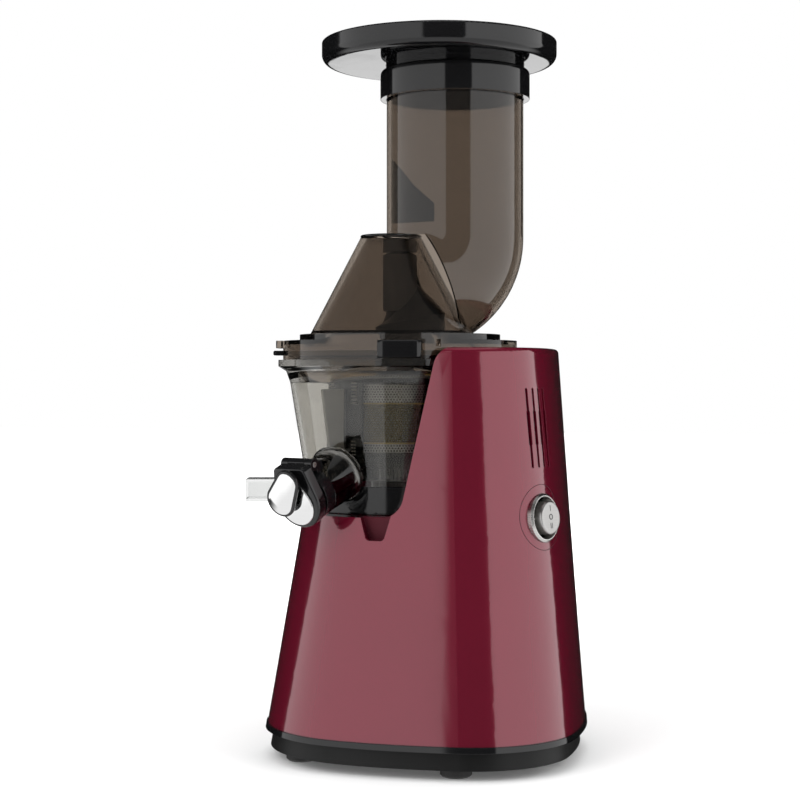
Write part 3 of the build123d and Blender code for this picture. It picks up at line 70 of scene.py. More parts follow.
# ---------------------------------------------------------------- sizes of the details
SMOOTH_DEG = 35.0                          # an edge that bends less is shaded smooth
PROBE = 50.0                               # how far outside a wall a search for its surface starts
CIRCLE_R, CIRCLE_BEAD_R = 19.6, 0.18       # engraved circle round the switch, a dark bead that paints the groove's shade
MARK_RISE, MARK_APART = 5.2, 1.5           # the switch marks' height from the middle, and II's spacing
SCREW_APART = 12.0                         # corners farther apart belong to two screws
FOIL_IN_R, FOIL_OUT_R = 45.25, 45.45       # strainer foil
NUB_ROOT_R, NUB_TIP_R = 49.1, 51.9         # silicone nubs on the brush
NUB_ROWS, NUB_COLUMNS_DEG = 1.9, 1.9       # their spacing up and round
LEVER_TILT = 36.5                          # lean of the thumb lever on the cap, degrees
LEVER_PLACE = (-6.2, 3.6)                  # the lever's round end from the cap's middle
LEVER_WIDTH, LEVER_LENGTH = 20.0, 32.8
NECK_IN_R, NECK_R = 9.1, 10.9              # grey sleeve on the auger's neck
RIB_TURN, RIB_HALF = 105.0, 1.6            # bearing and half width of the rib in the hump

# ---------------------------------------------------------------- camera and light
CAMERA_TURN = 15.0                         # how far the viewer stands to the right of the front
CAMERA_DISTANCE = 1.12
CAMERA_HEIGHT = 0.2355
CAMERA_SHIFT = -25.0 / 800.0
LENS_MM = 79.4
MIRRORED_BOXES = ((-114.0, -17.0, 1.15), (24.0, 117.0, 1.42))  # left and right bearing, strength


# ---------------------------------------------------------------- node trees
class Graph:
    """A node tree with short calls: a value that is a socket is joined, any other value is set."""

    def __init__(self, tree):
        self.tree = tree

    def add(self, kind, settings=None, **inputs):
        node = self.tree.nodes.new(kind)
        for name, value in (settings or {}).items():
            setattr(node, name, value)
        for name, value in inputs.items():
            self.put(node.inputs[name.replace("_", " ")], value)
        return node

    def put(self, socket, value):
        if isinstance(value, bpy.types.NodeSocket):
            self.tree.links.new(value, socket)
        elif isinstance(value, tuple) and socket.type == "RGBA" and len(value) == 3:
            socket.default_value = (*value, 1.0)
        else:
            socket.default_value = value

    def math(self, operation, *values):
        node = self.tree.nodes.new("ShaderNodeMath")
        node.operation = operation
        for socket, value in zip(node.inputs, values):
            self.put(socket, value)
        return node.outputs[0]

    def vector(self, operation, *values):
        node = self.tree.nodes.new("ShaderNodeVectorMath")
        node.operation = operation
        for socket, value in zip(node.inputs, values):
            self.put(socket, value)
        return node.outputs["Value" if operation in ("DOT_PRODUCT", "LENGTH") else "Vector"]

    def remap(self, value, low, high, to_low=0.0, to_high=1.0):
        node = self.add("ShaderNodeMapRange", {"interpolation_type": "SMOOTHSTEP"}, Value=value, From_Min=low,
                        From_Max=high, To_Min=to_low, To_Max=to_high)
        return node.outputs["Result"]

    def blend(self, amount, first, second, mode="MIX"):
        node = self.tree.nodes.new("ShaderNodeMix")
        node.data_type = "RGBA"
        node.blend_type = mode
        self.put(node.inputs[0], amount)
        self.put(node.inputs[6], first)
        self.put(node.inputs[7], second)
        return node.outputs[2]

    def noise(self, place, scale, detail=3.0, roughness=0.5):
        node = self.add("ShaderNodeTexNoise", Vector=place, Scale=scale, Detail=detail, Roughness=roughness)
        return node.outputs["Fac"]

    def place(self):
        """The point in the object's own space."""
        return self.tree.nodes.new("ShaderNodeTexCoord").outputs["Object"]

    def facing(self):
        """The surface's true normal."""
        return self.tree.nodes.new("ShaderNodeNewGeometry").outputs["Normal"]

    def axes(self, vector):
        return self.add("ShaderNodeSeparateXYZ", Vector=vector).outputs

    def group(self, shared, **inputs):
        node = self.tree.nodes.new("ShaderNodeGroup")
        node.node_tree = shared
        for name, value in inputs.items():
            self.put(node.inputs[name.replace("_", " ")], value)
        return node.outputs


KINDS = {"float": "NodeSocketFloat", "colour": "NodeSocketColor", "vector": "NodeSocketVector"}


def shared_effect(name, inputs, outputs, build):
    """A node group: build gets the graph and the group's inputs, and returns a value for each output."""
    tree = bpy.data.node_groups.new(name, "ShaderNodeTree")
    for label, kind, *value in inputs:
        socket = tree.interface.new_socket(name=label, in_out="INPUT", socket_type=KINDS[kind])
        if value:
            socket.default_value = value[0]
    for label, kind in outputs:
        tree.interface.new_socket(name=label, in_out="OUTPUT", socket_type=KINDS[kind])
    graph = Graph(tree)
    entry = tree.nodes.new("NodeGroupInput")
    leave = tree.nodes.new("NodeGroupOutput")
    for label, value in build(graph, entry.outputs).items():
        graph.put(leave.inputs[label], value)
    return tree


def moulded_skin(g, given):
    """Slow unevenness of colour and gloss that a moulding has, and a fine grain."""
    place = g.place()
    slow = g.noise(place, 18.0, 2.0)
    grain = g.noise(place, given["Grain"], 2.0, 0.6)
    tone = g.remap(slow, 0.3, 0.7, 0.0, 1.0)
    depth = g.math("MULTIPLY", tone, given["Unevenness"])
    dark = g.blend(depth, given["Colour"], (0.0, 0.0, 0.0))
    gloss = g.math("MULTIPLY_ADD", g.math("SUBTRACT", grain, 0.5), given["Gloss change"], given["Roughness"])
    return {"Colour": dark, "Roughness": gloss, "Height": grain}


def handling_film(g, given):
    """Faint wipe marks and dust: rougher in patches, and a little paler where a face looks up."""
    place = g.place()
    wipes = g.add("ShaderNodeTexNoise", Vector=g.vector("MULTIPLY", place, (30.0, 30.0, 9.0)), Scale=1.0,
                  Detail=4.0, Distortion=1.2).outputs["Fac"]
    marks = g.remap(wipes, 0.48, 0.75)
    up = g.axes(g.facing())["Z"]
    specks = g.remap(g.noise(place, 900.0, 1.0), 0.62, 0.75)
    dust = g.math("MULTIPLY", g.remap(up, 0.5, 1.0), g.math("MULTIPLY_ADD", specks, 0.6, 0.15))
    colour = g.blend(g.math("MULTIPLY", dust, given["Dust"]), given["Colour"], (0.55, 0.53, 0.5))
    rough = g.math("MULTIPLY_ADD", marks, given["Film"], given["Roughness"])
    return {"Colour": colour, "Roughness": rough}


def rubbed_edge(g, given):
    """Mask that is 1 on a sharp edge, from the difference between the rounded and the true normal."""
    rounded = g.add("ShaderNodeBevel", {"samples": 4}, Radius=given["Radius"]).outputs["Normal"]
    true = g.facing()
    bend = g.math("SUBTRACT", 1.0, g.vector("DOT_PRODUCT", rounded, true))
    patch = g.remap(g.noise(g.place(), 160.0, 3.0), 0.35, 0.6)
    return {"Mask": g.math("MULTIPLY", g.remap(bend, 0.02, 0.25), patch), "Normal": rounded}


def drawn_lines(g, given):
    """Fine lines that brushing leaves, stretched along one direction of the given vector."""
    lines = g.noise(g.vector("MULTIPLY", given["Vector"], given["Stretch"]), 1.0, 4.0, 0.7)
    rough = g.math("MULTIPLY_ADD", lines, given["Gloss change"], given["Roughness"])
    tone = g.blend(g.remap(lines, 0.3, 0.7), (0.86, 0.86, 0.86), (1.0, 1.0, 1.0))
    return {"Tone": tone, "Roughness": rough, "Height": lines}


def cast_skin(g, given):
    """Pebbled skin of a die casting with a few pit marks, darker from painted shade and rougher."""
    place = g.place()
    cells = g.add("ShaderNodeTexVoronoi", {"feature": "SMOOTH_F1"}, Vector=place,
                  Scale=given["Scale"]).outputs["Distance"]
    shaded_pits = g.remap(g.noise(place, 240.0, 4.0), 0.6, 0.7)
    # Painted shade: the pit marks are darkened in the colour, as there are no real hollows.
    tone = g.blend(shaded_pits, given["Colour"], g.blend(0.45, given["Colour"], (0.05, 0.05, 0.05)))
    return {"Colour": tone, "Height": cells, "Shaded pits": shaded_pits}


SKIN = shared_effect("moulded skin",
                     [("Colour", "colour"), ("Roughness", "float", 0.3), ("Grain", "float", 600.0),
                      ("Unevenness", "float", 0.05), ("Gloss change", "float", 0.05)],
                     [("Colour", "colour"), ("Roughness", "float"), ("Height", "float")], moulded_skin)
FILM = shared_effect("handling film",
                     [("Colour", "colour"), ("Roughness", "float", 0.2), ("Film", "float", 0.05),
                      ("Dust", "float", 0.1)],
                     [("Colour", "colour"), ("Roughness", "float")], handling_film)
EDGE = shared_effect("rubbed edge", [("Radius", "float", 0.0006)],
                     [("Mask", "float"), ("Normal", "vector")], rubbed_edge)
LINES = shared_effect("drawn lines",
                      [("Vector", "vector"), ("Stretch", "vector"), ("Roughness", "float", 0.25),
                       ("Gloss change", "float", 0.15)],
                      [("Tone", "colour"), ("Roughness", "float"), ("Height", "float")], drawn_lines)
CAST = shared_effect("cast skin", [("Colour", "colour"), ("Scale", "float", 700.0)],
                     [("Colour", "colour"), ("Height", "float"), ("Shaded pits", "float")], cast_skin)


def new_material(name):
    material = bpy.data.materials.new(name)
    material.use_nodes = True
    material.node_tree.nodes.clear()
    return material, Graph(material.node_tree)


def close_material(g, shader):
    g.tree.links.new(shader, g.tree.nodes.new("ShaderNodeOutputMaterial").inputs["Surface"])


def bump(g, height, strength, distance, normal=None):
    node = g.add("ShaderNodeBump", Height=height, Strength=strength, Distance=distance)
    if normal is not None:
        g.put(node.inputs["Normal"], normal)
    return node.outputs["Normal"]


def inside_box(g, low, high, soft):
    """Mask that is 1 inside a box of the object's space."""
    axes = g.axes(g.place())
    mask = 1.0
    for axis, start, end in zip("XYZ", low, high):
        mask = g.math("MULTIPLY", mask, g.remap(axes[axis], start - soft, start + soft))
        mask = g.math("MULTIPLY", mask, g.remap(axes[axis], end - soft, end + soft, 1.0, 0.0))
    return mask


def plastic(name, colour, roughness, grain=700.0, grain_depth=0.00001, grain_strength=0.15, film=0.06,
            dust=0.15, unevenness=0.06, edge=0.0005, metallic=0.0, coat=0.0, gloss_change=0.05,
            specular=0.5, shaded_box=None):
    """An opaque moulding: skin, handling film, softened and slightly rubbed edges.

    shaded_box is a box, as two corners and a soft border, in which shade is painted: the colour is darkened,
    the coat dull and the gloss rougher.
    """
    material, g = new_material(name)
    skin = g.group(SKIN, Colour=colour, Roughness=roughness, Grain=grain, Unevenness=unevenness,
                   Gloss_change=gloss_change)
    film_out = g.group(FILM, Colour=skin["Colour"], Roughness=skin["Roughness"], Film=film, Dust=dust)
    worn = g.group(EDGE, Radius=edge)
    pale = tuple(min(1.0, c * 1.5 + 0.03) for c in colour)
    final = g.blend(g.math("MULTIPLY", worn["Mask"], 0.35), film_out["Colour"], pale)
    rough = film_out["Roughness"]
    if shaded_box is not None:
        # Painted shade: inside the box the colour darkens to near black red, and the coat and gloss are
        # dulled.
        shaded_pocket = inside_box(g, *shaded_box)
        final = g.blend(g.math("MULTIPLY", shaded_pocket, 0.6), final, (0.02, 0.0, 0.003))
        rough = g.math("MULTIPLY_ADD", shaded_pocket, 0.35, rough)
        coat = g.math("SUBTRACT", coat, shaded_pocket)
    shader = g.add("ShaderNodeBsdfPrincipled", Base_Color=final, Roughness=rough, Metallic=metallic,
                   Coat_Weight=coat, Coat_Roughness=0.03, Specular_IOR_Level=specular,
                   Normal=bump(g, skin["Height"], grain_strength, grain_depth, worn["Normal"]))
    close_material(g, shader.outputs[0])
    return material


def clear_plastic(name, tint, roughness=0.03, thick=None):
    """A transparent moulding: tint with slow flow clouds, deeper above a height where its wall is thick.

    thick is that height in metres, and the tint there.
    """
    material, g = new_material(name)
    if thick is not None:
        height, deep_tint = thick
        above = g.remap(g.axes(g.place())["Z"], height - 1.5 * MM, height + 1.5 * MM)
        tint = g.blend(above, tint, deep_tint)
    skin = g.group(SKIN, Colour=tint, Roughness=roughness, Grain=90.0, Unevenness=0.06, Gloss_change=0.02)
    film_out = g.group(FILM, Colour=skin["Colour"], Roughness=skin["Roughness"], Film=0.05, Dust=0.0)
    shader = g.add("ShaderNodeBsdfPrincipled", Base_Color=film_out["Colour"], Roughness=film_out["Roughness"],
                   Transmission_Weight=1.0, IOR=1.5)
    close_material(g, shader.outputs[0])
    return material


def metal(name, colour, roughness, stretch=(40.0, 40.0, 4000.0), depth=0.000006, change=0.15, lines=1.0):
    """A drawn or turned metal: fine lines along or around, with edges brightened by use."""
    material, g = new_material(name)
    drawn = g.group(LINES, Vector=g.place(), Stretch=stretch, Roughness=roughness, Gloss_change=change)
    film_out = g.group(FILM, Colour=g.blend(lines, colour, g.blend(1.0, colour, drawn["Tone"], "MULTIPLY")),
                       Roughness=drawn["Roughness"], Film=0.06, Dust=0.05)
    worn = g.group(EDGE, Radius=0.0004)
    final = g.blend(g.math("MULTIPLY", worn["Mask"], 0.5), film_out["Colour"], (0.9, 0.9, 0.9))
    shader = g.add("ShaderNodeBsdfPrincipled", Base_Color=final, Metallic=1.0,
                   Roughness=film_out["Roughness"],
                   Normal=bump(g, drawn["Height"], 0.3, depth, worn["Normal"]))
    close_material(g, shader.outputs[0])
    return material


def cast_metal(name, colour):
    """Die-cast metal with a pebbled skin."""
    material, g = new_material(name)
    cast = g.group(CAST, Colour=colour, Scale=700.0)
    worn = g.group(EDGE, Radius=0.0006)
    final = g.blend(g.math("MULTIPLY", worn["Mask"], 0.6), cast["Colour"], (0.85, 0.85, 0.86))
    shader = g.add("ShaderNodeBsdfPrincipled", Base_Color=final, Metallic=1.0,
                   Roughness=g.math("MULTIPLY_ADD", cast["Shaded pits"], 0.2, 0.42),
                   Normal=bump(g, cast["Height"], 0.35, 0.00004, worn["Normal"]))
    close_material(g, shader.outputs[0])
    return material


def perforated_steel(name, colour, roughness, radius, pitch, hole):
    """Etched strainer foil: staggered round holes round the drive axis that light passes through."""
    material, g = new_material(name)
    place = g.vector("SUBTRACT", g.place(), (DRIVE_X, DRIVE_Y, 0.0))
    axes = g.axes(place)
    row_step = 0.866                       # staggered rows lie this share of a pitch apart
    round_it = g.math("MULTIPLY", g.math("ARCTAN2", axes["Y"], axes["X"]), radius / pitch)
    rows = g.math("DIVIDE", axes["Z"], pitch * row_step)
    shift = g.math("MULTIPLY", g.math("MODULO", g.math("FLOOR", rows), 2.0), 0.5)
    across = g.math("SUBTRACT", g.math("FRACT", g.math("ADD", round_it, shift)), 0.5)
    along = g.math("MULTIPLY", g.math("SUBTRACT", g.math("FRACT", rows), 0.5), row_step)
    away = g.vector("LENGTH", g.add("ShaderNodeCombineXYZ", X=across, Y=along).outputs[0])
    metal_here = g.remap(away, hole / pitch - 0.06, hole / pitch + 0.06)
    drawn = g.group(LINES, Vector=place, Stretch=(900.0, 900.0, 900.0), Roughness=roughness, Gloss_change=0.2)
    shader = g.add("ShaderNodeBsdfPrincipled", Base_Color=g.blend(1.0, colour, drawn["Tone"], "MULTIPLY"),
                   Roughness=drawn["Roughness"], Metallic=1.0, Alpha=metal_here,
                   Normal=bump(g, metal_here, 0.4, 0.0001))
    close_material(g, shader.outputs[0])
    return material


FINISH = {
    # The burgundy lacquer has painted shade in the scoop's box under the bowl's front.
    "burgundy": plastic("burgundy lacquer", (0.15, 0.004, 0.020), 0.14, grain=1400.0, grain_strength=0.02,
                        film=0.03, dust=0.03, unevenness=0.04, edge=0.0008, metallic=0.4, coat=1.0,
                        gloss_change=0.03, shaded_box=(POCKET_LOW, POCKET_HIGH, 0.5 * MM)),
    "black_gloss": plastic("gloss black moulding", (0.0045, 0.0045, 0.005), 0.07, grain=1200.0,
                           grain_strength=0.04, film=0.05, dust=0.03, gloss_change=0.03),
    "black_matte": plastic("grained black moulding", (0.006, 0.006, 0.006), 0.42, grain=1500.0,
                           grain_strength=0.4, grain_depth=0.00004, dust=0.05, specular=0.22),
    "black_rubber": plastic("black rubber", (0.014, 0.013, 0.013), 0.7, grain=1800.0, grain_strength=0.5,
                            grain_depth=0.00005, dust=0.5),
    "auger_plastic": plastic("dark auger resin", (0.004, 0.004, 0.004), 0.3, grain=1100.0, grain_strength=0.1,
                             dust=0.03, specular=0.2),
    "grey_plastic": plastic("grey moulding", (0.13, 0.135, 0.14), 0.35, grain=1500.0, grain_strength=0.3,
                            grain_depth=0.00003),
    "gear_nylon": plastic("natural nylon", (0.72, 0.7, 0.62), 0.42, grain=1300.0, grain_strength=0.25),
    "pale_silicone": plastic("pale silicone", (0.62, 0.6, 0.54), 0.45, grain=1600.0, grain_strength=0.25,
                             dust=0.2),
    "board": plastic("circuit board lacquer", (0.01, 0.1, 0.035), 0.3, grain=2200.0, grain_strength=0.3),
    "smoky": clear_plastic("smoky lid resin", (0.28, 0.236, 0.198)),
    "pale_smoky": clear_plastic("pale smoky bowl resin", (0.60, 0.585, 0.545),
                                thick=(237.0 * MM, (0.30, 0.29, 0.27))),
    "clear": clear_plastic("clear resin", (0.94, 0.945, 0.94)),
    "amber": clear_plastic("amber resin", (0.55, 0.40, 0.16), roughness=0.08),
    "steel": metal("satin steel", (0.62, 0.61, 0.59), 0.2),
    "chrome": metal("bright chrome", (0.86, 0.86, 0.86), 0.03, change=0.03, lines=0.2, depth=0.000001),
    "lamination": metal("stacked lamination steel", (0.16, 0.16, 0.17), 0.4, stretch=(20.0, 20.0, 2000.0),
                        depth=0.0002),
    "copper": metal("enamelled copper wire", (0.62, 0.22, 0.07), 0.25, stretch=(900.0, 900.0, 900.0),
                    depth=0.0002),
    "bronze": metal("sintered bronze", (0.46, 0.29, 0.12), 0.4),
    "cast_aluminium": cast_metal("cast aluminium", (0.58, 0.58, 0.59)),
}

# These nodes have a finish of their own within their slot.
SPECIAL_FINISH = {
    "strainer_mesh": perforated_steel("perforated inner foil", (0.3, 0.3, 0.29), 0.35,
                                      42.8 * MM, 1.25 * MM, 0.40 * MM),
    "switch_cap": metal("satin switch face", (0.5, 0.49, 0.48), 0.25),
    "brush_holder": clear_plastic("grey brush resin", (0.20, 0.20, 0.205)),
}
OUTER_FOIL = perforated_steel("perforated strainer foil", (0.5, 0.49, 0.47), 0.35,
                              45.4 * MM, 1.8 * MM, 0.56 * MM)
AMBER_FOIL = perforated_steel("perforated amber foil", (0.19, 0.155, 0.07), 0.4,
                              45.4 * MM, 1.8 * MM, 0.56 * MM)
DARK_RESIN = clear_plastic("dark nozzle resin", (0.17, 0.165, 0.155))
NECK_GREY = plastic("auger neck sleeve", (0.24, 0.25, 0.27), 0.45, specular=0.2, dust=0.0)
AMBER_EDGE = plastic("amber band edge", (0.5, 0.37, 0.12), 0.3, dust=0.0)
# Dark grey for the printed switch marks, and painted shade for the screws' cross recesses.
PRINT_AND_RECESS_SHADE_GREY = plastic("dark grey print and painted recess shade", (0.05, 0.05, 0.052), 0.4, film=0.02, dust=0.0)
# Painted shade: this dark burgundy stands in for the shade inside the engraved circle's groove.
GROOVE_SHADE = plastic("burgundy painted groove shade", (0.035, 0.001, 0.006), 0.5, film=0.02, dust=0.0)

for part in frame["record"]["subparts"]:
    shown = frame["nodes"][part["node"]]
    shown.data.materials.clear()
    shown.data.materials.append(SPECIAL_FINISH.get(part["node"]) or FINISH[part["material_slot"]])


# ---------------------------------------------------------------- mesh making
def piece(name, mesh_builder, material, body):
    """A new piece from a bmesh, riding on a body and finished with the given material."""
    mesh = bpy.data.meshes.new(name)
    shape = bmesh.new()
    mesh_builder(shape)
    bmesh.ops.recalc_face_normals(shape, faces=shape.faces)
    shape.to_mesh(mesh)
    shape.free()
    made = bpy.data.objects.new(name, mesh)
    bpy.context.scene.collection.objects.link(made)
    mesh.materials.append(material)
    mesh.shade_smooth()
    mesh.set_sharp_from_angle(angle=radians(SMOOTH_DEG))
    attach(made, body)
    return made


def add_loops(shape, loops, closed=False):
    """Skin a list of point loops: flat caps at the two ends, or the last loop joined to the first."""
    rings = [[shape.verts.new(point) for point in loop] for loop in loops]
    pairs = list(zip(rings, rings[1:]))
    if closed:
        pairs.append((rings[-1], rings[0]))
    for first, second in pairs:
        count = len(first)
        for i in range(count):
            j = (i + 1) % count
            shape.faces.new((first[i], first[j], second[j], second[i]))
    if not closed:
        shape.faces.new(list(reversed(rings[0])))
        shape.faces.new(rings[-1])


def circle(count):
    """Cosine and sine of even steps round a circle."""
    return [(cos(2 * pi * k / count), sin(2 * pi * k / count)) for k in range(count)]


def add_ring(shape, path, radius, sides):
    """Round bead along a closed path of points."""
    loops = []
    for i, point in enumerate(path):
        ahead = (path[(i + 1) % len(path)] - path[i - 1]).normalized()
        side = ahead.cross(Vector((0, 0, 1)) if abs(ahead.z) < 0.95 else Vector((1, 0, 0))).normalized()
        top = side.cross(ahead)
        loops.append([point + (side * c + top * s) * radius for c, s in circle(sides)])
    add_loops(shape, loops, closed=True)


def add_bar(shape, centre, along, across, length, width, height):
    """Bar with round ends lying on a face: along and across span the face, its height stands off it."""
    out = along.cross(across)
    half, r = length / 2 - width / 2, width / 2
    steps = 5
    outline = []
    for end in (1, -1):
        for k in range(steps + 1):
            a = -pi / 2 + pi * k / steps
            outline.append(along * end * (half + r * cos(a)) + across * end * r * sin(a))
    add_loops(shape, [[centre + p - out * height for p in outline],
                      [centre + p + out * height * 0.6 for p in outline],
                      [centre + p * (1 - 0.15 * height / r) + out * height for p in outline]])


def polar(radius, turn, z, x=0.0, y=0.0):
    """Point about the drive axis, or about an axis that stands x, y from it."""
    a = radians(turn)
    return Vector((DRIVE_X + (x + radius * sin(a)) * MM, DRIVE_Y + (y - radius * cos(a)) * MM, z * MM))


def skin_of(node):
    """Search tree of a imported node's surface."""
    mesh = frame["nodes"][node].data
    return BVHTree.FromPolygons([v.co for v in mesh.vertices], [p.vertices for p in mesh.polygons])


def ring_piece(name, profile, material, body, x=0.0, y=0.0, count=96):
    """A turned piece from a profile of (radius, height)."""
    def build(shape):
        add_loops(shape, [[polar(r, 360 * k / count, z, x, y) for r, z in profile] for k in range(count)],
                  closed=True)

    piece(name, build, material, body)


# ---------------------------------------------------------------- switch and housing details
def switch_axes():
    """Centre of the switch and its directions: out of the wall, across and up."""
    turn, lean = radians(SWITCH_TURN), radians(SWITCH_LEAN)
    out = Vector((sin(turn) * cos(lean), -cos(turn) * cos(lean), sin(lean)))
    across = Vector((0, 0, 1)).cross(out).normalized()
    low, high = (Vector(corner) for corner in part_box("switch_bezel"))
    return (low + high) / 2, out, across, out.cross(across)


def engraved_circle():
    """Fine dark circle in the wall round the switch: a bead whose dark colour paints the shade of an engraved
    groove.
    """
    centre, out, across, up = switch_axes()
    wall = skin_of("body_housing")
    path = [wall.ray_cast(centre + ((across * c + up * s) * CIRCLE_R + out * PROBE) * MM, -out)[0]
            for c, s in circle(96)]
    piece("switch_circle_groove", lambda shape: add_ring(shape, path, CIRCLE_BEAD_R * MM, 6),
          GROOVE_SHADE, "base")


def switch_marks():
    """I, O and II on the face of the rocker."""
    centre, out, across, up = switch_axes()
    face = skin_of("switch_cap")

    def on_face(x, y):
        return face.ray_cast(centre + (across * x + up * y + out * PROBE) * MM, -out)[0]

    def build(shape):
        for x, y in ((0.0, MARK_RISE), (-MARK_APART / 2, -MARK_RISE), (MARK_APART / 2, -MARK_RISE)):
            add_bar(shape, on_face(x, y), up, across, 3.4 * MM, 0.6 * MM, 0.05 * MM)
        middle = on_face(0, 0)
        add_ring(shape, [middle + (across * c + up * s) * 1.5 * MM for c, s in circle(32)], 0.3 * MM, 8)

    piece("switch_marks", build, PRINT_AND_RECESS_SHADE_GREY, "switch")


def screw_recesses():
    """Cross recesses in the heads of the base screws, seen from below, drawn as flat dark bars that paint
    their shade.
    """
    def build(shape):
        corners = [v.co for v in frame["nodes"]["base_screws"].data.vertices]
        floor_z = min(corner.z for corner in corners)
        heads = []
        for corner in corners:
            if all((corner.xy - head).length > SCREW_APART * MM for head in heads):
                heads.append(corner.xy)
        for head in heads:
            near = [c.xy for c in corners if (c.xy - head).length < SCREW_APART * MM]
            middle = sum(near, Vector((0, 0))) / len(near)
            spot = Vector((middle.x, middle.y, floor_z))
            for along, across in (((1, 0, 0), (0, -1, 0)), ((0, 1, 0), (1, 0, 0))):
                add_bar(shape, spot, Vector(along), Vector(across), 4.2 * MM, 0.9 * MM, 0.04 * MM)

    # The dark grey here is painted shade in the recesses.
    piece("screw_recesses", build, PRINT_AND_RECESS_SHADE_GREY, "base")


# ---------------------------------------------------------------- bowl, brush and strainer details
def strainer_foils():
    """Perforated sleeves round the strainer's frame, the middle one amber between two bright edges."""
    for name, low, high, material, slot in (("strainer_foil_low", 179.5, 193.4, OUTER_FOIL, "steel"),
                                            ("strainer_foil_middle", 194.4, 217.6, AMBER_FOIL, "amber"),
                                            ("strainer_foil_high", 218.6, 239.8, OUTER_FOIL, "steel"),
                                            ("strainer_edge_low", 193.4, 194.4, AMBER_EDGE, "amber"),
                                            ("strainer_edge_high", 217.6, 218.6, AMBER_EDGE, "amber")):
        sleeve = ((FOIL_IN_R, low), (FOIL_OUT_R, low), (FOIL_OUT_R, high), (FOIL_IN_R, high))
        ring_piece(name, sleeve, material, "bowl")


def brush_bristles():
    """Silicone nubs on both edges of the brush's arms: a comb near the top and a short one at the foot."""
    up = Vector((0, 0, 1))

    def add_nub(shape, turn, z):
        root, tip = polar(NUB_ROOT_R, turn, z), polar(NUB_TIP_R, turn, z)
        side = (tip - root).normalized().cross(up)
        add_loops(shape, [[root.lerp(tip, share) + (side * c + up * s) * r * MM for c, s in circle(8)]
                          for share, r in ((0.0, 0.62), (0.7, 0.45), (0.95, 0.3), (1.0, 0.12))])

    def comb(shape, turn, low, high):
        rows = round((high - low) / NUB_ROWS)
        for row in range(rows):
            for column in (-0.5, 0.5):
                add_nub(shape, turn + column * NUB_COLUMNS_DEG, low + (high - low) * (row + 0.5) / rows)

    def build(shape):
        for arm in ARM_TURNS:
            for edge in ARM_EDGES:
                comb(shape, arm + edge, 217.5, 235.5)
                comb(shape, arm + edge, 186.0, 196.0)

    piece("brush_bristles", build, FINISH["pale_silicone"], "brush")


def brush_foot_pads():
    """Black pads that carry the short combs."""
    def build(shape):
        for arm in ARM_TURNS:
            for edge in ARM_EDGES:
                loops = []
                for k in range(-4, 5):
                    bow = 0.35 * abs(k) / 4
                    loops.append([polar(r, arm + edge + k * 1.7, z) for r, z in (
                        (49.2, 184.2), (50.0 - bow, 184.2), (50.5 - bow, 185.0), (50.5 - bow, 196.6),
                        (50.0 - bow, 197.6), (49.2, 197.6))])
                add_loops(shape, loops)

    piece("brush_foot_pads", build, FINISH["black_gloss"], "brush")


# ---------------------------------------------------------------- lid details
def rim_block(name, start, sweep, steps, inner, outer, set_back, low, high, cut_r, cut_z):
    """Black block on the lid's rim, with cut corners and its two ends set back."""
    def build(shape):
        loops = []
        for k in range(steps + 1):
            face = outer - (set_back if k in (0, steps) else 0.0)
            loops.append([polar(r, start + sweep * k / steps, z) for r, z in (
                (inner, low), (face - cut_r, low), (face, low + cut_z), (face, high - cut_z),
                (face - cut_r, high), (inner, high))])
        add_loops(shape, loops)

    piece(name, build, FINISH["black_gloss"], "lid")


def lid_latch_block():
    """Interlock block let into the front of the lid's skirt."""
    rim_block("lid_latch_block", start=4.5, sweep=20.2, steps=16, inner=73.6, outer=75.2, set_back=0.6,
              low=245.7, high=256.3, cut_r=0.5, cut_z=0.7)


def lid_lug_tip():
    """Tip of the locking lug at the left."""
    rim_block("lid_lug_tip", start=-83.0, sweep=15.0, steps=8, inner=74.2, outer=80.2, set_back=1.2,
              low=247.9, high=250.8, cut_r=0.6, cut_z=0.6)


# ---------------------------------------------------------------- juice cap lever
def cap_axes():
    """Middle of the nozzle's mouth and its directions: across, up the cap's face, and out."""
    turn, drop = radians(JUICE_TURN), radians(JUICE_DROP)
    out = Vector((sin(turn) * cos(drop), -cos(turn) * cos(drop), -sin(drop)))
    across = Vector((0, 0, 1)).cross(out).normalized()
    mouth = polar(JUICE_ROOT_R, JUICE_TURN, JUICE_ROOT_Z) + out * (NOZZLE_LENGTH + CAP_GAP) * MM
    return mouth, across, out.cross(across), out


def teardrop(width, long, grow):
    """Outline of a teardrop as (x, y), round below and narrower at the top."""
    r, tip_r = width / 2, width * 0.4
    top = long - r - tip_r
    lean = (r - tip_r) / top
    points = []
    for k in range(40):
        a = 2 * pi * (k + 0.5) / 40
        centre, radius = (top, tip_r) if sin(a) > lean else (0.0, r)
        points.append(((radius + grow) * cos(a), centre + (radius + grow) * sin(a)))
    return points


def outline_on_cap(middle, right, tall, points, out, height):
    """Outline's points at a height above the cap's plane."""
    return [middle + (right * x + tall * y + out * height) * MM for x, y in points]


def cap_disc():
    """Bright face that covers the cap's lever."""
    mouth, across, up, out = cap_axes()
    middle = mouth - up * 1.6 * MM
    steps = ((0.0, 1.0, 7.0), (0.0, 1.0, 7.8), (-0.4, 1.0, 8.2), (-0.4, 0.8, 8.6), (-0.4, 0.5, 8.9),
             (-0.4, 0.15, 9.0))            # growth, share of the full outline and height of each loop

    def build(shape):
        add_loops(shape, [outline_on_cap(middle, across, up,
                                         [(x * share, y * share) for x, y in teardrop(25.0, 28.0, grow)],
                                         out, height) for grow, share, height in steps])

    made = piece("cap_bright_disc", build, FINISH["chrome"], "juice_cap")
    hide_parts("cap_face")


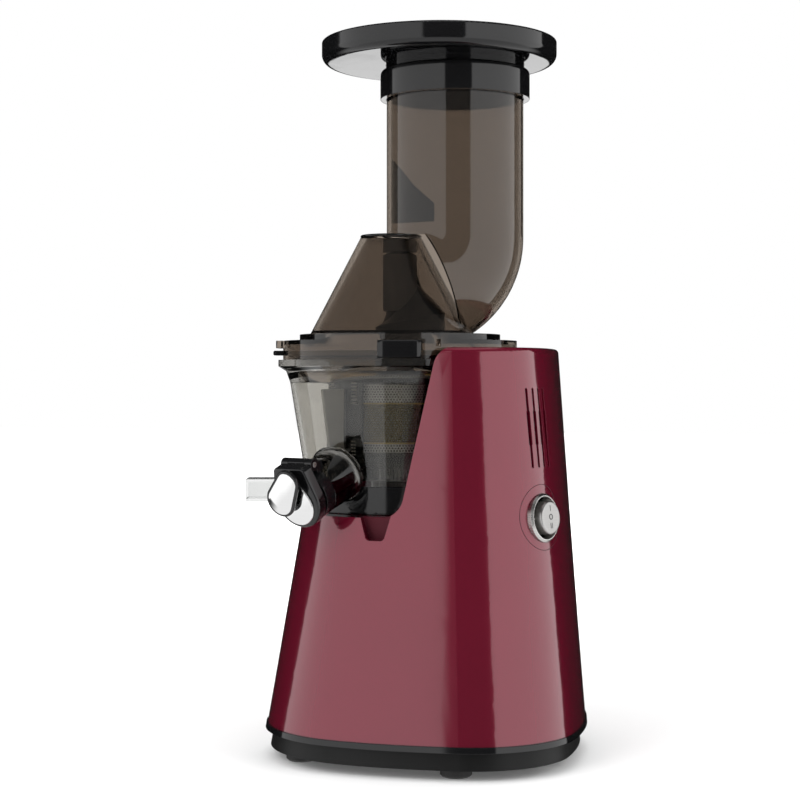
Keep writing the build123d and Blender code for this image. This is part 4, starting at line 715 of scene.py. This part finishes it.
def thumb_lever():
    """Black lever body with its stem, and the bright teardrop face let into it."""
    mouth, across, up, out = cap_axes()
    tilt = radians(LEVER_TILT)
    right, tall = across * cos(tilt) - up * sin(tilt), up * cos(tilt) + across * sin(tilt)
    middle = mouth + (across * LEVER_PLACE[0] + up * LEVER_PLACE[1]) * MM

    def layers(shape, steps):
        add_loops(shape, [outline_on_cap(middle, right, tall, teardrop(LEVER_WIDTH, LEVER_LENGTH, grow),
                                         out, height) for grow, height in steps])

    def body(shape):
        layers(shape, ((-1.2, 11.3), (-0.1, 11.7), (0.0, 12.2), (0.0, 13.2), (-0.4, 13.7)))
        add_loops(shape, [[middle + (tall * 5.0 + across * 3.4 * c + up * 4.0 * s + out * height) * MM
                           for c, s in circle(24)] for height in (8.4, 9.4, 10.4, 11.6)])

    made = piece("thumb_lever_body", body, FINISH["black_gloss"], "juice_cap")
    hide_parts("cap_thumb_plate")
    piece("thumb_lever_face", lambda shape: layers(shape, ((-1.6, 13.4), (-1.6, 13.9), (-2.0, 14.1))),
          FINISH["chrome"], "juice_cap")


def nozzle_shroud():
    """Dark tapered sleeve round the juice nozzle, with a thick ring at its root."""
    mouth, across, up, out = cap_axes()
    root = mouth - out * (NOZZLE_LENGTH + CAP_GAP) * MM
    profile = ((13.9, 5.1), (17.6, 5.1), (18.2, 5.7), (18.2, 6.9), (17.4, 7.6), (16.6, 9.0), (15.7, 28.2),
               (15.3, 28.6), (13.9, 28.6))

    def build(shape):
        add_loops(shape, [[root + ((across * c + up * s) * r + out * along) * MM for r, along in profile]
                          for c, s in circle(72)], closed=True)

    piece("juice_nozzle_sleeve", build, DARK_RESIN, "bowl")


# ---------------------------------------------------------------- inside the hump
def hump_radius(z):
    """Outer radius of the hump's cone at a height."""
    return HUMP_TOP_R + (HUMP_TOP_Z - z) / HUMP_RISE * HUMP_FLARE


def neck_sleeves():
    """Grey sleeve on the auger's neck, and the lid's socket over its tip."""
    ring_piece("auger_neck_sleeve", ((NECK_IN_R, 276.0), (10.5, 276.0), (NECK_R, 277.0), (NECK_R, 310.4),
                                     (10.4, 311.2), (NECK_IN_R, 311.2)),
               NECK_GREY, "auger_screw", count=64)
    ring_piece("lid_tip_socket", ((6.6, 313.0), (10.4, 313.0), (NECK_R, 313.6), (NECK_R, 320.8),
                                  (6.6, 320.8)),
               NECK_GREY, "lid", count=64)


def auger_crown():
    """Last turn of the auger's flight, a black ramp that winds up to the neck."""
    steps, root, foot = 32, 9.2, 262.3     # the ramp's root radius and underside

    def build(shape):
        loops = []
        for k in range(steps + 1):
            share = k / steps
            rise = share * share * (3 - 2 * share)
            reach = 16.0 + 14.0 * rise
            loops.append([polar(r, -60.0 + 205.0 * share, z) for r, z in (
                (root, foot), (reach, foot), (reach, 266.0 + 10.0 * rise),
                (reach - 4.0, 268.0 + 13.0 * rise), (root, 270.0 + 26.0 * rise))])
        add_loops(shape, loops)

    piece("auger_crown", build, FINISH["auger_plastic"], "auger_screw")


def hump_window_rib():
    """Black rib inside the hump's wall, along the edge of the window to the feed tube."""
    steps, foot, top = 12, 263.0, 319.5

    def build(shape):
        loops = []
        for k in range(steps + 1):
            z = foot + (top - foot) * k / steps
            wall = hump_radius(z) - CLEAR_WALL
            half = RIB_HALF / wall * 180 / pi
            depth = min(3.2, 1.2 + (top - z) * 0.2)
            loops.append([polar(r, RIB_TURN + side * half, z, HUMP_X, HUMP_Y) for r, side in (
                (wall, -1), (wall, 1), (wall - depth, 1), (wall - depth, -1))])
        add_loops(shape, loops)

    piece("hump_window_rib", build, FINISH["black_gloss"], "lid")


def hump_beads():
    """Dark beads along the hump's top edge and inside its foot."""
    foot_z = 261.5
    for name, radius, z, size in (("hump_top_bead", 18.7, 323.2, 0.7),
                                  ("hump_foot_bead", hump_radius(foot_z) - CLEAR_WALL - 0.9, foot_z, 0.9)):
        ring_piece(name, [(radius + size * c, z + size * s) for c, s in circle(10)],
                   FINISH["black_gloss"], "lid", HUMP_X, HUMP_Y)


engraved_circle()
switch_marks()
screw_recesses()
strainer_foils()
brush_bristles()
brush_foot_pads()
lid_latch_block()
lid_lug_tip()
cap_disc()
thumb_lever()
nozzle_shroud()
neck_sleeves()
auger_crown()
hump_window_rib()
hump_beads()


# ---------------------------------------------------------------- studio
def studio_floor():
    """Pale floor: white to the camera and through clear plastic, keeps the shadow, no part in reflections."""
    mesh = bpy.data.meshes.new("floor")
    mesh.from_pydata([(-6, -6, 0), (6, -6, 0), (6, 6, 0), (-6, 6, 0)], [], [(0, 1, 2, 3)])
    floor = bpy.data.objects.new("floor", mesh)
    bpy.context.scene.collection.objects.link(floor)
    floor.location.z = -0.0002
    material, g = new_material("pale studio floor")
    path = g.tree.nodes.new("ShaderNodeLightPath").outputs
    seen = g.math("MAXIMUM", path["Is Camera Ray"], path["Is Transmission Ray"])
    tone = g.blend(g.noise(g.place(), 3.0, 2.0), (0.74, 0.74, 0.74), (0.78, 0.78, 0.78))
    far = g.remap(g.vector("LENGTH", g.place()), 0.3, 0.9)
    matt = g.add("ShaderNodeBsdfDiffuse", Color=tone)
    lift = g.math("MULTIPLY_ADD", far, 0.85, 0.08)
    glow = g.add("ShaderNodeEmission", Color=(1.0, 1.0, 1.0), Strength=g.math("MULTIPLY", seen, lift))
    lit = g.add("ShaderNodeAddShader")
    g.tree.links.new(matt.outputs[0], lit.inputs[0])
    g.tree.links.new(glow.outputs[0], lit.inputs[1])
    away = g.tree.nodes.new("ShaderNodeBsdfTransparent")
    pick = g.add("ShaderNodeMixShader", Fac=path["Is Glossy Ray"])
    g.tree.links.new(lit.outputs[0], pick.inputs[1])
    g.tree.links.new(away.outputs[0], pick.inputs[2])
    close_material(g, pick.outputs[0])
    mesh.materials.append(material)


def studio_world():
    """White to the camera and through clear plastic, even grey fill, and softboxes drawn for reflections."""
    world = bpy.data.worlds.new("studio")
    bpy.context.scene.world = world
    world.use_nodes = True
    world.node_tree.nodes.clear()
    world.cycles.sampling_method = "NONE"
    g = Graph(world.node_tree)
    direction = g.axes(g.tree.nodes.new("ShaderNodeTexCoord").outputs["Generated"])
    turn = g.math("ARCTAN2", direction["X"], g.math("MULTIPLY", direction["Y"], -1.0))
    turn = g.math("SUBTRACT", g.math("MULTIPLY", turn, 180.0 / pi), CAMERA_TURN)
    turn = g.math("WRAP", turn, 180.0, -180.0)
    aside = g.math("ABSOLUTE", turn)
    rise = g.math("MULTIPLY", g.math("ARCSINE", direction["Z"]), 180.0 / pi)

    def band(value, low, high, soft):
        """Mask that is 1 between two values."""
        return g.math("MULTIPLY", g.remap(value, low - soft, low + soft),
                      g.remap(value, high - soft, high + soft, 1.0, 0.0))

    def fade(level, share, other):
        """One level turning into another by a share."""
        return g.math("ADD", g.math("MULTIPLY", level, g.math("SUBTRACT", 1.0, share)),
                      g.math("MULTIPLY", share, other))

    level = g.math("MULTIPLY_ADD", g.remap(aside, 112.0, 120.0, 1.0, 0.0), 0.07, 0.01)
    below_rim = g.remap(rise, 25.0, 31.0, 1.0, 0.0)
    for left, right, strength in MIRRORED_BOXES:
        lit = g.math("MULTIPLY", band(turn, left, right, 1.0), below_rim)
        level = g.math("MULTIPLY_ADD", lit, strength, level)
    behind = g.math("MULTIPLY", g.remap(aside, 170.0, 173.0), band(rise, -14.0, -7.5, 0.7))
    level = g.math("MULTIPLY_ADD", behind, 1.5, level)
    level = fade(level, g.remap(rise, 58.0, 66.0), 0.6)      # overhead
    level = fade(level, g.remap(rise, -26.0, -40.0), 0.95)   # ground

    path = g.tree.nodes.new("ShaderNodeLightPath").outputs
    seen = g.math("MAXIMUM", path["Is Camera Ray"], path["Is Transmission Ray"])
    strength = fade(0.55, path["Is Glossy Ray"], level)
    back = g.add("ShaderNodeBackground", Color=(1.0, 1.0, 1.0), Strength=fade(strength, seen, 1.0))
    g.tree.links.new(back.outputs[0], g.tree.nodes.new("ShaderNodeOutputWorld").inputs["Surface"])


def softbox(name, turn, rise, distance, size, watts):
    """An area lamp that lights the object but isn't itself mirrored: the world draws the softboxes."""
    lamp = bpy.data.lights.new(name, "AREA")
    lamp.shape = "RECTANGLE"
    lamp.size, lamp.size_y = size
    lamp.energy = watts
    holder = bpy.data.objects.new(name, lamp)
    bpy.context.scene.collection.objects.link(holder)
    a, e = radians(CAMERA_TURN + turn), radians(rise)
    back = Vector((sin(a) * cos(e), -cos(a) * cos(e), sin(e)))
    holder.location = Vector((DRIVE_X, DRIVE_Y, 0.22)) + back * distance
    holder.rotation_euler = back.to_track_quat("Z", "Y").to_euler()
    holder.visible_glossy = False
    holder.visible_camera = False
    holder.visible_transmission = False


def camera():
    lens = bpy.data.cameras.new("camera")
    lens.lens = LENS_MM
    lens.sensor_width = 36.0
    lens.shift_y = CAMERA_SHIFT
    holder = bpy.data.objects.new("camera", lens)
    bpy.context.scene.collection.objects.link(holder)
    a = radians(CAMERA_TURN)
    holder.location = (DRIVE_X + sin(a) * CAMERA_DISTANCE, DRIVE_Y - cos(a) * CAMERA_DISTANCE, CAMERA_HEIGHT)
    holder.rotation_euler = (radians(90.0), 0.0, a)
    bpy.context.scene.camera = holder


studio_floor()
studio_world()
softbox("key softbox", -50.0, 30.0, 2.0, (1.4, 1.6), 26.0)
softbox("fill softbox", 62.0, 25.0, 2.0, (1.4, 1.6), 20.0)
softbox("overhead softbox", 0.0, 88.0, 1.9, (1.8, 1.8), 26.0)
softbox("rear softbox", 170.0, 30.0, 2.2, (1.6, 1.4), 12.0)
camera()
bpy.context.scene.view_settings.view_transform = "Standard"
